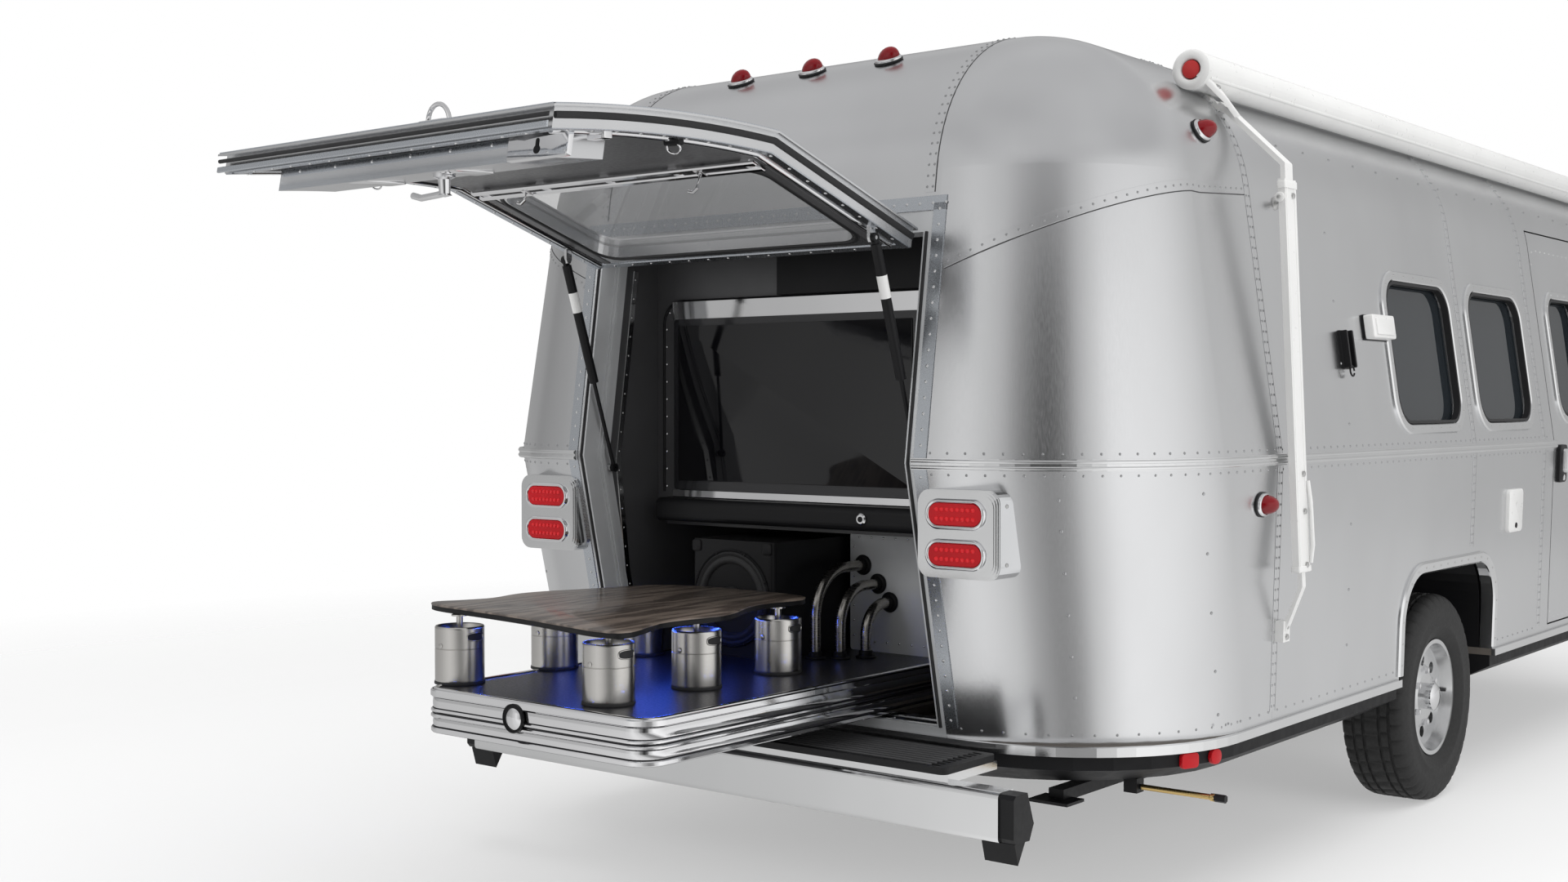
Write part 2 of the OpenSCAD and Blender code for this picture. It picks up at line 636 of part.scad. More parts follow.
// Running gear
module wheel_wells() color(black) both_sides() difference() {
    union() {
        along_x(well_x, base_half_w - wall - 2) difference() {
            arch_outline(-16);
            arch_outline(0);
        }
        along_x(well_x - 14, well_x) arch_outline(-16);
    }
    box([-far, -far, 0], [far, far, base_z + seat]);
}
axle_tube = 70;
tube_z = belly_z - axle_tube - seat;
arm_y_len = 150;
axle_end = well_x - 60;
module axle() color(black) {
    box([-axle_end, axle_y + arm_y_len - axle_tube / 2, tube_z],
        [axle_end, axle_y + arm_y_len + axle_tube / 2, belly_z - seat]);
    both_sides() {
        along_x(axle_end, axle_end + 40) polygon([[axle_y + arm_y_len + 45, tube_z - 5],
            [axle_y + arm_y_len + 45, belly_z - seat], [axle_y, tyre_r + 38], [axle_y - 38, tyre_r],
            [axle_y - 20, tyre_r - 36]]);
        translate([axle_end + 40, axle_y, tyre_r]) rotate([0, 90, 0]) cylinder(r = 24, h = spindle_len);
    }
}
spindle_len = 165;
// Tyre turned about its own axis: columns are radius and half width
tread_half = tyre_w / 2;
module wheel_at(side) translate([side * track_x, axle_y, tyre_r]) rotate([0, side * 90, 0]) children();
module tyre(side) color(black) wheel_at(side) rotate_extrude($fn = 96) polygon([
    [rim_r + seat, -tread_half + 28], [rim_r + 45, -tread_half + 2], [tyre_r - 60, -tread_half],
    [tyre_r - 14, -tread_half + 12],
    [tyre_r, -tread_half + 34], [tyre_r, tread_half - 34], [tyre_r - 14, tread_half - 12],
    [tyre_r - 60, tread_half], [rim_r + 45, tread_half - 2], [rim_r + seat, tread_half - 28]
]);
module rim(side) color(silver) wheel_at(side) difference() {
    rotate_extrude($fn = 96) polygon([
        [25, -45], [70, -45], [70, 10], [rim_r - 40, 25], [rim_r - 14, -tread_half + 22],
        [rim_r, -tread_half + 22],
        [rim_r, tread_half - 22], [rim_r - 14, tread_half - 22], [rim_r - 26, 50], [110, 48], [80, 62],
        [45, 62], [45, 92], [25, 92]
    ]);
    for (i = [0 : 7]) rotate([0, 0, i * 45]) translate([125, 0, -100]) cylinder(r = 20, h = 300);
}

// Coupler, jack and gas-bottle cover on the drawbar
ball_r = 29.75;
coupler_z = rail_top + seat;
module coupler() color(black) difference() {
    union() {
        box([-50, apex_y - 180, coupler_z], [50, coupler_y - 30, coupler_z + 50]);
        translate([0, coupler_y, coupler_z]) cylinder(r = 48, h = 62);
        translate([0, coupler_y - 60, coupler_z]) linear_extrude(50) square([80, 100], center = true);
        translate([-9, apex_y - 100, coupler_z + 45]) cube([18, 150, 45]);
    }
    translate([0, coupler_y, coupler_z - 1]) cylinder(r = ball_r, h = 41);
}
jack_y = apex_y - 330;
jack_r = 34;
jack_leg_r = 26;
jack_low_z = 150;
module jack_tube() color(silver) difference() {
    union() {
        translate([0, jack_y, jack_low_z]) cylinder(r = jack_r, h = 720);
        translate([-110, jack_y - 60, rail_top + seat]) cube([220, 120, 12]);
        translate([-45, jack_y - 55, jack_low_z + 700]) cube([90, 110, 130]);
        translate([0, jack_y + 50, jack_low_z + 770]) rotate([-90, 0, 0]) cylinder(r = 10, h = 90);
    }
    translate([0, jack_y, jack_low_z - 1]) cylinder(r = jack_leg_r + 0.05, h = 640);
}
foot_r = 80;
module jack_leg() color([0.6, 0.6, 0.62]) translate([0, jack_y, 0]) {
    cylinder(r = foot_r, h = 8);
    translate([0, 0, 7]) cylinder(r = jack_leg_r, h = 560);
}
bottle_y = body_len + 130;
bottle_h = 380;
module bottle_outline() polygon(round_rect(-310, -10, 310, 320, 150, 10));
module gas_bottle_cover() color(silver) translate([0, bottle_y, rail_top + seat]) {
    linear_extrude(bottle_h) bottle_outline();
    translate([0, 0, bottle_h]) linear_extrude(70, scale = 0.8) bottle_outline();
}

// Stabiliser legs under the rear corners: columns of a leg are hinge height, length and width
stab_x = 860;
stab_y = 800;
stab_z = belly_z - 32;
stab_len = 470;
stab_w = 46;
// Drive rod of each stabiliser: it runs out sideways under the belly
rod_x = [965, 1255];
rod_y = 530;
rod_z = belly_z - 24;
module stabiliser_mounts() color(black) both_sides() {
    for (s = [-1, 1]) translate([stab_x + s * (stab_w / 2 + 6.5) - 5, stab_y - 40, stab_z - 22])
        cube([10, 80, belly_z - stab_z + 22 - seat]);
    translate([stab_x, stab_y, stab_z]) rotate([0, 90, 0]) cylinder(r = 8, h = stab_w + 20, center = true);
    box([rod_x[0], rod_y - 20, rod_z - 16], [rod_x[0] + 40, rod_y + 20, belly_z - seat]);
    translate([rod_x[0] + 10, rod_y, rod_z]) rotate([0, 90, 0]) cylinder(r = 7, h = rod_x[1] - rod_x[0] - 10);
    translate([rod_x[1] - 35, rod_y, rod_z]) rotate([0, 90, 0]) cylinder(r = 11, h = 35, $fn = 6);
}
module stabiliser_leg(side) color(black) translate([side * stab_x, stab_y, stab_z]) difference() {
    union() {
        translate([-stab_w / 2, -stab_len, -16]) cube([stab_w, stab_len, 32]);
        rotate([0, 90, 0]) cylinder(r = 16, h = stab_w, center = true);
        translate([-60, -stab_len - 45, -18]) cube([120, 90, 8]);
    }
    rotate([0, 90, 0]) cylinder(r = 8.05, h = 200, center = true);
    translate([-stab_w / 2 + 6, -stab_len + 20, -40]) cube([stab_w - 12, stab_len - 60, 50]);
}

// Awning rolled up along the kerb-side shoulder
roller_angle = 45;
roller_r = 52;
cap_r = roller_r + 4;
cap_t = 22;
roller_gap = 6;
roller_d = shoulder_r + roller_gap + roller_r;
roller_y = [790, body_len - 730];
roller_x = flat_x + roller_d * cos(roller_angle);
roller_z = arc_z + roller_d * sin(roller_angle);
// Folded arms: a flat sleeve that stands off the wall, a bent bar above it and a rod to the wall below
arm_w = 76;
arm_t = 20;
arm_y = [961, body_len - 901];
arm_off = 30;
arm_tilt = 2.6;
arm_low_z = 905;
arm_top_z = shoulder_z + 5;
bar_w = 52;
bar_t = 14;
bar_elbow_z = shoulder_z + 48;
bar_end = roller_angle - 7.5;
bar_gap = 10;
hook_half = 1.6;
pad_w = 34;
pad_half = 4;
rod_w = 24;
rod_t = 12;
rod_bend_z = 865;
rod_end_z = 735;
foot_w = 44;
foot_h = 60;
foot_t = 26;
function arm_x(z) = half_w + arm_off - (z - belt_z) * tan(arm_tilt);
function arm_mid(z) = [arm_x(z) + arm_t / 2, z];
module awning_roller() color("white") translate([roller_x, roller_y[0], roller_z]) rotate([-90, 0, 0]) {
    cylinder(r = roller_r, h = roller_y[1] - roller_y[0]);
    cylinder(r = cap_r, h = cap_t);
    translate([0, 0, roller_y[1] - roller_y[0] - cap_t]) cylinder(r = cap_r, h = cap_t);
}
module shoulder_arc(r, a0, a1) polygon(concat(arc_pts([flat_x, arc_z], r[0], a0, a1, 8),
    arc_pts([flat_x, arc_z], r[1], a1, a0, 8)));
module strip_2d(p, q, t) translate(p) rotate(atan2(q[1] - p[1], q[0] - p[0]))
    translate([0, -t / 2]) square([norm(q - p), t]);
module sleeve_section() polygon([[arm_x(arm_low_z), arm_low_z], [arm_x(arm_low_z) + arm_t, arm_low_z],
    [arm_x(arm_top_z) + arm_t, arm_top_z], [arm_x(arm_top_z), arm_top_z]]);
module bar_section() {
    elbow = arm_mid(bar_elbow_z);
    end_r = shoulder_r + bar_gap + bar_t / 2;
    strip_2d(arm_mid(arm_top_z - 30), elbow, bar_t);
    translate(elbow) circle(bar_t / 2, $fn = 32);
    strip_2d(elbow, [flat_x + end_r * cos(bar_end), arc_z + end_r * sin(bar_end)], bar_t);
}
module rod_section() {
    bend = arm_mid(rod_bend_z);
    strip_2d(arm_mid(arm_low_z + 20), bend, rod_t);
    translate(bend) circle(rod_t / 2, $fn = 32);
    strip_2d(bend, [outer_x(rod_end_z) + foot_t - rod_t / 2, rod_end_z], rod_t);
}
module foot_section() {
    z0 = rod_end_z - foot_h / 2;
    z1 = rod_end_z + foot_h / 2;
    polygon([[outer_x(z0) + seat, z0], [outer_x(z1) + seat, z1], [outer_x(z1) + foot_t, z1],
        [outer_x(z0) + foot_t, z0]]);
}
module awning_arms() color("white") for (y = arm_y) {
    along_y(y - arm_w / 2, y + arm_w / 2) sleeve_section();
    along_y(y - bar_w / 2, y + bar_w / 2) bar_section();
    along_y(y - bar_w / 2, y + bar_w / 2) shoulder_arc([shoulder_r + seat, shoulder_r + bar_gap + 4],
        bar_end - hook_half, bar_end + hook_half);
    along_y(y - rod_w / 2, y + rod_w / 2) rod_section();
    along_y(y - foot_w / 2, y + foot_w / 2) foot_section();
    along_y(y - pad_w / 2, y + pad_w / 2) shoulder_arc([shoulder_r + seat, shoulder_r + roller_gap - seat],
        roller_angle - pad_half, roller_angle + pad_half);
}

// Fixed pieces of the bar's compartment
side_in = mouth_x + 4;
side_t = 18;
tv_y = 335;
// The tunnel ends this far behind the deck when the deck is in
tunnel_end = 135;
tunnel_y = deck_len - deck_out + deck_travel + tunnel_end;
lid_t = 18;
module bar_compartment() color(black) {
    both_sides() along_x(side_in, side_in + side_t) polygon([[base_end_y + frame_d + 1, base_z + seat],
        [tunnel_y, base_z + seat], [tunnel_y, shelf_z - 1], [tv_y + tv_wall_t, shelf_z - 1],
        [tv_y + tv_wall_t, mouth_top_z], [rear_y(mouth_top_z) + frame_d + 1, mouth_top_z],
        [frame_d + 1, belt_z]]);
    along_x(-side_in - 1, side_in + 1) {
        translate([tv_y + tv_wall_t, shelf_z - 1 - lid_t]) square([tunnel_y - tv_y - tv_wall_t, lid_t]);
        translate([tunnel_y - lid_t, base_z + seat]) square([lid_t, shelf_z - 2 - base_z - seat]);
    }
}
// Television wall with a raised surround, round at its free corner
tv_wall_t = 40;
surround_t = 10;
surround = [-mouth_x + 29.6, 1700];
surround_r = 75;
module tv_wall() color([0.2, 0.2, 0.21]) {
    along_y(tv_y, tv_y + tv_wall_t) translate([-side_in + seat, shelf_z + seat])
        square([2 * side_in - 2 * seat, mouth_top_z - shelf_z - seat]);
    along_y(tv_y - surround_t, tv_y + 1) difference() {
        polygon(concat([[surround[0], shelf_z + shelf_h + seat], [side_in - seat, shelf_z + shelf_h + seat],
            [side_in - seat, surround[1]]],
            arc_pts([surround[0] + surround_r, surround[1] - surround_r], surround_r, 90, 180, 8)));
        polygon(round_rect(tv_box[0] - seat, tv_box[1] - seat, tv_box[2] + seat, tv_box[3] + seat, 12));
    }
}
tv_box = [-mouth_x + 96.6, 1109, mouth_x - 162.6, 1640];
module television() color(black) difference() {
    along_y(tv_y - 36, tv_y - seat) polygon(round_rect(tv_box[0], tv_box[1], tv_box[2], tv_box[3], 12));
    along_y(tv_y - 60, tv_y - 34) polygon(round_rect(tv_box[0] + 18, tv_box[1] + 24,
        tv_box[2] - 18, tv_box[3] - 18, 4));
}
shelf_y = 250;
shelf_h = 71;
shelf_end = -mouth_x + 64.6;
module shelf() color(black) along_x(shelf_end, side_in - seat) polygon(concat(
    arc_pts([shelf_y + 20, shelf_z + 20], 20, 270, 180, 5),
    arc_pts([shelf_y + 20, shelf_z + shelf_h - 20], 20, 180, 90, 5),
    [[tv_y - seat, shelf_z + shelf_h], [tv_y - seat, shelf_z]]));
deck_low_z = deck_z - deck_h;
runner_x = 350;
module deck_runners() color([0.5, 0.5, 0.52]) both_sides()
    box([runner_x - 25, base_end_y + frame_d + 10, base_z + seat],
        [runner_x + 25, tunnel_y - 20, deck_low_z - seat]);

// Slide-out deck and what stands on it
deck_skin = 14;
deck_y0 = -deck_out;
deck_y1 = deck_y0 + deck_len;
// Ribbed edge: columns are a layer's height above the deck's underside and its inset
deck_ribs = [[0, 0], [14, 5], [40, 0], [48, 4], [54, 0], [62, 5], [94, 0]];
deck_corner = 70;
module deck_plan(gap) polygon(concat(
    arc_pts([-deck_x + deck_corner, deck_y0 + deck_corner], deck_corner - gap, 180, 270, 8),
    arc_pts([deck_x - deck_corner, deck_y0 + deck_corner], deck_corner - gap, 270, 360, 8),
    [[deck_x - gap, deck_y1 - gap], [-deck_x + gap, deck_y1 - gap]]));
module deck_layers() {
    for (i = [0 : len(deck_ribs) - 1]) let (top = i + 1 < len(deck_ribs) ? deck_ribs[i + 1][0] : deck_h)
        translate([0, 0, deck_ribs[i][0]]) linear_extrude(top - deck_ribs[i][0]) deck_plan(deck_ribs[i][1]);
}
module bar_deck() color(black) difference() {
    translate([0, 0, deck_low_z]) deck_layers();
    translate([0, 0, deck_low_z - 1]) linear_extrude(deck_h - deck_skin) difference() {
        deck_plan(deck_skin);
        for (s = [-1, 1]) translate([s * runner_x - 25, -far / 2]) square([50, far]);
    }
}
// Kegs: columns are x and y of each keg's middle
keg_at = [[150, -650], [150, -320], [150, 20], [-400, -660], [-400, -310], [-400, 50]];
keg_r = 66;
keg_h = table_z - deck_z - 2 * seat;
keg_wall = 5;
// A neck of this height carries the slab above the keg's rim
neck_h = 30;
keg_top = keg_h - neck_h;
rim_h = 40;
slot_half = 16;
slot_r = 8;
module keg() difference() {
    rotate_extrude($fn = 64) polygon([[0, 10], [keg_r - 14, 10], [keg_r - 12, 0], [keg_r - 5, 0],
        [keg_r - 2, 4], [keg_r, 10], [keg_r, keg_top - rim_h - 2], [keg_r - 1, keg_top - rim_h - 1],
        [keg_r, keg_top - rim_h], [keg_r, keg_top - 2], [keg_r - 2, keg_top], [keg_r - keg_wall, keg_top],
        [keg_r - keg_wall, keg_top - rim_h], [22, keg_top - rim_h], [20, keg_top - 12], [24, keg_top - 6],
        [24, keg_h - 6], [30, keg_h - 4], [30, keg_h], [0, keg_h]]);
    for (a = [-55, 125]) rotate([0, 0, a]) keg_slot();
}
// Handle slot through the rim
module keg_slot() {
    slot_z = keg_top - 19;
    translate([keg_r - 20, -slot_half, slot_z - slot_r]) cube([40, 2 * slot_half, 2 * slot_r - 0.5]);
    for (s = [-1, 1]) translate([keg_r - 20, s * slot_half, slot_z]) rotate([0, 90, 0])
        cylinder(r = slot_r, h = 40);
}
module kegs() color([0.75, 0.75, 0.76]) for (k = keg_at) translate([k[0], k[1], deck_z + seat]) keg();
// Slab with a live edge on the kerb side: from front to back the edge swings in by a wave
edge_mid = 245;
edge_wave = 52;
edge_y = [-740, 780];
function live_edge(t) = [edge_mid + edge_wave * cos(200 * t), edge_y[0] + edge_y[1] * t];
module table_outline() polygon(concat(
    arc_pts([edge_mid - 20, edge_y[0] + 25], 72, 270, 345, 5),
    [for (i = [1 : 16]) live_edge(i / 16)],
    arc_pts([edge_mid - 85, edge_y[0] + edge_y[1] + 10], 45, 20, 85, 4),
    arc_pts([-410, 70], 75, 85, 180, 5), arc_pts([-405, -640], 80, 180, 265, 5)));
module table_top() color([0.42, 0.36, 0.32]) translate([0, 0, table_z])
    linear_extrude(table_t) table_outline();
sub_box = [-315, 180, 0, 555];
sub_h = 345;
module subwoofer() color(black) difference() {
    translate([0, 0, deck_z + seat]) linear_extrude(sub_h)
        polygon(round_rect(sub_box[0], sub_box[1], sub_box[2], sub_box[3], 18));
    translate([(sub_box[0] + sub_box[2]) / 2, sub_box[1] - 1, deck_z + sub_h / 2])
        rotate([-90, 0, 0]) difference() {
        cylinder(r1 = 135, r2 = 60, h = 70);
        translate([0, 0, 14]) cylinder(r = 50, h = 60);
    }
}
splash_y = 530;
splash_box = [20, 400];
splash_top = 985;
module splash_panel() color(silver) along_y(splash_y, splash_y + 14)
    polygon(round_rect(splash_box[0], deck_z + seat, splash_box[1], splash_top, 10));
// Pipes: columns are the base's x and y, the height of the upper run and the bend's radius
pipe_at = [[70, 293, 887, 140], [126, 339, 833, 115], [169, 407, 780, 90]];
pipe_r = 16;
slip = 4;
slip_r = pipe_r - 0.5;
module tap_pipes() color([0.85, 0.85, 0.86]) for (p = pipe_at) translate([p[0], p[1], 0]) {
    bend_z = p[2] - p[3];
    translate([0, 0, deck_z + seat]) cylinder(r = slip_r, h = bend_z - deck_z + slip);
    translate([0, p[3], bend_z]) rotate([0, -90, 0]) rotate([0, 0, -90])
        rotate_extrude(angle = 90) translate([p[3], 0]) circle(pipe_r);
    translate([0, p[3] - slip, p[2]]) rotate([-90, 0, 0])
        cylinder(r = slip_r, h = splash_y - p[1] - p[3] + slip - seat);
}

// Entry door on the kerb side
door_arc_end = asin((door_top_z - arc_z) / shoulder_r);
module door_section() polygon(concat(
    [[outer_x(door_low_z), door_low_z], [half_w, belt_z]],
    arc_pts([flat_x, arc_z], shoulder_r, upper_lean, door_arc_end, 3),
    arc_pts([flat_x, arc_z], shoulder_r - wall, door_arc_end, upper_lean, 3),
    [[half_w - wall / cos(upper_lean), belt_z], [outer_x(door_low_z) - wall, door_low_z]]));
door_win = [door_y - door_w + 130, 1330, door_y - 130, 1800];
module door_win_outline(gap) polygon(round_rect(door_win[0] + gap, door_win[1] + gap,
    door_win[2] - gap, door_win[3] - gap, 80));
module entry_door() color(silver) difference() {
    union() {
        along_y(door_y - door_w, door_y) door_section();
        for (z = hinge_at) door_hinge(z);
    }
    along_x(0, far) door_win_outline(0);
}
module door_glass() color([0.05, 0.07, 0.08, 0.6]) intersection() {
    along_y(door_y - door_w, door_y) translate([flat_x, 0]) wall_line(pane_t, wall / 2);
    along_x(0, far) door_win_outline(seat);
}

// Ends of the whole trailer, for the part's frame
nose_y = coupler_y + 48;
hatch_tip = [rear_y(hatch_low_z) - hatch_skin_t - 1 - hinge_y, hatch_low_z - hinge_z];
tail_y = hinge_y + hatch_tip[0] * cos(hatch_open) + hatch_tip[1] * sin(hatch_open);
frame_y = (nose_y + tail_y) / 2;

place() chassis();
place() floor();
place() belly_pan();
place() side_wall_right();
place() side_wall_left();
place() roof();
place() rear_corner_right();
place() mirror([1, 0, 0]) rear_corner_right();  // rear_corner_left
place() rear_upper();
place() rear_dome();
place() front_lower();
place() front_upper();
place() front_dome();
place() trim_rails();
place() hatch_frame();
place() window_panes();
place() wheel_wells();
place() axle();
place() rear_bumper();
place() bumper_caps();
place() step_pad();
place() tail_lamp_housings();
place() tail_lenses();
place() marker_lamps();
place() coupler();
place() jack_tube();
place() jack_leg();
place() gas_bottle_cover();
place() stabiliser_mounts();
place() stabiliser_leg(1);  // stabiliser_leg_right
place() stabiliser_leg(-1);  // stabiliser_leg_left
place() awning_roller();
place() awning_arms();
place() tv_wall();
place() television();
place() shelf();
place() bar_compartment();
place() deck_runners();
place() tyre(1);  // tyre_right
place() tyre(-1);  // tyre_left
place() rim(1);  // rim_right
place() rim(-1);  // rim_left
place() hatch_panel();
place() hatch_window();
place() hatch_latch_box();
place() strut_tube(1);  // strut_tube_right
place() strut_tube(-1);  // strut_tube_left
place() strut_rod(1);  // strut_rod_right
place() strut_rod(-1);  // strut_rod_left
place() bar_deck();
place() kegs();
place() table_top();
place() subwoofer();
place() tap_pipes();
place() splash_panel();
place() entry_door();
place() door_glass();
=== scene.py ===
"""Looks of the bar trailer: finishes, rivets, seals, lamps, fittings, studio and camera."""
from functools import partial
from math import acos, asin, atan, copysign, cos, pi, radians, sin, tan

import bmesh
import bpy
from mathutils import Matrix, Vector


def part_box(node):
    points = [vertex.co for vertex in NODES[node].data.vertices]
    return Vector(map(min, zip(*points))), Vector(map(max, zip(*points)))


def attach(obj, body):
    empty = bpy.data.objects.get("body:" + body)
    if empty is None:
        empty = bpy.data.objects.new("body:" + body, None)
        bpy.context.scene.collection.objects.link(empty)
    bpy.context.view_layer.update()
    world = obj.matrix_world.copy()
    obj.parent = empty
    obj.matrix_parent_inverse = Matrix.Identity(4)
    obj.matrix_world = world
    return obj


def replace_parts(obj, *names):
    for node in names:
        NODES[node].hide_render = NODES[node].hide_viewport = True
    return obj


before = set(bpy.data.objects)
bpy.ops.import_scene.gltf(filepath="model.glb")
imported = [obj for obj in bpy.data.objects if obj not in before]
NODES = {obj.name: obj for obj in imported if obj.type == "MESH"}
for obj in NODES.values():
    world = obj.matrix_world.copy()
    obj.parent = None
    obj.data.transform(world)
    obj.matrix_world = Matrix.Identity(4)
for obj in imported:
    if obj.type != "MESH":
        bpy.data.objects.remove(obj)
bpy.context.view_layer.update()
KERB, ROAD = 1, -1
SIDES = (KERB, ROAD)
UP, REARWARD, SIDEWAYS = Vector((0, 0, 1)), Vector((0, -1, 0)), Vector((1, 0, 0))

# The shell's own sizes, in metres, measured from the rear belt line
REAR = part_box("rear_upper")[0].y
BELT_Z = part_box("rear_upper")[0].z
BASE_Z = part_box("rear_corner_right")[0].z
SHOULDER_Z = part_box("rear_dome")[0].z
ROOF_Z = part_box("rear_dome")[1].z
HALF_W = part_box("rear_upper")[1].x
BODY_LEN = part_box("front_upper")[1].y - REAR
END_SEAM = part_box("rear_upper")[1].y - REAR
UPPER_LEAN, END_TUCK, SIDE_TUCK = radians(8), radians(12.3), radians(1.7)
SHOULDER_R = 0.48
ARC_Z = ROOF_Z - SHOULDER_R
CORNER_R = (SHOULDER_Z - BELT_Z) * tan(UPPER_LEAN) + SHOULDER_R * cos(UPPER_LEAN)
FLAT_X = HALF_W - CORNER_R


def at(x, y, z):
    """A point of the trailer, with y counted from the rear belt line."""
    return Vector((x, y + REAR, z))


def unit(angle):
    """Cosine and sine of an angle in degrees."""
    return cos(radians(angle)), sin(radians(angle))


def turns(n):
    """The angles of n even steps round a circle."""
    return [2 * pi * k / n for k in range(n)]


def steps(a, b, n):
    return [a + (b - a) * i / n for i in range(n + 1)]


def mm(*numbers):
    """Pairs of millimetres, such as radius and height, as points in metres."""
    return [(a / 1000, b / 1000) for a, b in zip(numbers[::2], numbers[1::2])]


# Materials

def set_sockets(node, **values):
    for key, value in values.items():
        node.inputs[key.replace("_", " ")].default_value = value
    return node


def new_material(name, color, metallic=0.0, rough=0.5, **sockets):
    mat = bpy.data.materials.new(name)
    mat.use_nodes = True
    shader = mat.node_tree.nodes["Principled BSDF"]
    set_sockets(shader, Base_Color=(*color, 1), Metallic=metallic, Roughness=rough, **sockets)
    return mat, mat.node_tree, shader


def coordinates(tree, stretch=(1, 1, 1)):
    """Object coordinates, stretched."""
    coords = tree.nodes.new("ShaderNodeTexCoord")
    mapping = set_sockets(tree.nodes.new("ShaderNodeMapping"), Scale=stretch)
    tree.links.new(coords.outputs["Object"], mapping.inputs["Vector"])
    return mapping.outputs["Vector"]


def noise(tree, scale, stretch=(1, 1, 1), detail=3.0):
    node = set_sockets(tree.nodes.new("ShaderNodeTexNoise"), Scale=scale, Detail=detail)
    tree.links.new(coordinates(tree, stretch), node.inputs["Vector"])
    return node.outputs["Fac"]


def spread(tree, value, low, high, socket, clip=(0.3, 0.7)):
    """Map a value to low..high on a socket."""
    node = tree.nodes.new("ShaderNodeMapRange")
    set_sockets(node, From_Min=clip[0], From_Max=clip[1], To_Min=low, To_Max=high)
    tree.links.new(value, node.inputs["Value"])
    tree.links.new(node.outputs["Result"], socket)


def tint(tree, value, low, high, socket, clip=(0.3, 0.7)):
    """Colour a socket from low to high by a value."""
    ramp = tree.nodes.new("ShaderNodeValToRGB")
    for stop, position, color in zip(ramp.color_ramp.elements, clip, (low, high)):
        stop.position = position
        stop.color = (*color, 1)
    tree.links.new(value, ramp.inputs["Fac"])
    tree.links.new(ramp.outputs["Color"], socket)


def bump(tree, shader, value, strength, distance, previous=None):
    node = set_sockets(tree.nodes.new("ShaderNodeBump"), Strength=strength, Distance=distance)
    tree.links.new(value, node.inputs["Height"])
    if previous:
        tree.links.new(previous, node.inputs["Normal"])
    tree.links.new(node.outputs["Normal"], shader.inputs["Normal"])
    return node.outputs["Normal"]


def metal(name, color, rough, grain=(40, 40, 3), wave=0.0, spot=0.03):
    """Metal with a brushed grain along one axis, and slow waves of a thin sheet."""
    mat, tree, shader = new_material(name, color, 1.0, rough)
    fine = noise(tree, 12, grain)
    spread(tree, fine, rough - spot, rough + spot, shader.inputs["Roughness"])
    dark = tuple(0.93 * c for c in color)
    tint(tree, noise(tree, 2.2, (1, 1, 0.6)), dark, color, shader.inputs["Base Color"])
    normal = bump(tree, shader, fine, 0.04, 0.001)
    if wave:
        bump(tree, shader, noise(tree, 1.7, (1, 1, 0.7), 1.0), wave, 0.02, normal)
    return mat


def coated(name, color, rough, grain=60.0, depth=0.1, coat=0.0, vary=0.12, shine=0.5):
    """Paint, plastic or rubber with a fine moulded texture."""
    mat, tree, shader = new_material(name, color, 0.0, rough, Coat_Weight=coat, Coat_Roughness=0.05,
                                     Specular_IOR_Level=shine)
    fine = noise(tree, grain)
    low = tuple(c * (1 - vary) for c in color)
    high = tuple(min(1, c * (1 + vary)) for c in color)
    tint(tree, noise(tree, 4.0), low, high, shader.inputs["Base Color"])
    spread(tree, fine, max(0.02, rough - 0.05), min(1, rough + 0.05), shader.inputs["Roughness"])
    bump(tree, shader, fine, depth, 0.001)
    return mat


def tinted_glass(name, color, rough=0.02, alpha=0.82):
    mat, tree, shader = new_material(name, color, 0.0, rough, Alpha=alpha, Specular_IOR_Level=0.6)
    spread(tree, noise(tree, 3.0), rough, rough + 0.02, shader.inputs["Roughness"])
    return mat


def glowing(name, color, strength, rough=0.3):
    """A lens or strip that gives its own light, a little uneven along its length."""
    mat, tree, shader = new_material(name, color, 0.0, rough, Emission_Color=(*color, 1))
    spread(tree, noise(tree, 40.0), 0.8 * strength, 1.2 * strength, shader.inputs["Emission Strength"])
    return mat


def slab_wood(name, dark, pale):
    """Oiled slab: long wavering grain with fine pores."""
    mat, tree, shader = new_material(name, pale, 0.0, 0.34, Coat_Weight=0.25, Coat_Roughness=0.12)
    rings = set_sockets(tree.nodes.new("ShaderNodeTexWave"), Scale=1.5, Distortion=16.0, Detail=3.0, Detail_Scale=2.4)
    tree.links.new(coordinates(tree, (2.2, 0.35, 1)), rings.inputs["Vector"])
    tint(tree, rings.outputs["Fac"], dark, pale, shader.inputs["Base Color"], (0.1, 0.9))
    pores = noise(tree, 3.0, (90, 6, 90))
    spread(tree, pores, 0.26, 0.46, shader.inputs["Roughness"])
    bump(tree, shader, pores, 0.12, 0.001)
    return mat


SHELL = metal("satin_aluminium", (0.8, 0.805, 0.815), 0.24, (30, 30, 1.5), 0.05)
BRIGHT = metal("bright_trim", (0.86, 0.865, 0.87), 0.14, (30, 30, 30))
FRAME = metal("frame_aluminium", (0.62, 0.65, 0.69), 0.28, (30, 30, 30))
RIM = metal("rim_alloy", (0.78, 0.785, 0.79), 0.22, (20, 20, 20))
CHROME = metal("chrome", (0.9, 0.9, 0.91), 0.06, (30, 30, 30), spot=0.01)
STAINLESS = metal("brushed_stainless", (0.66, 0.645, 0.62), 0.24, (3, 3, 90))
ZINC = metal("zinc_plate", (0.62, 0.62, 0.61), 0.32)
BRASS = metal("brass", (0.72, 0.52, 0.22), 0.25)
BLACK_STEEL = coated("black_steel", (0.01, 0.01, 0.011), 0.42, shine=0.25)
BELLY = coated("belly_black", (0.009, 0.009, 0.01), 0.52, 30, shine=0.22)
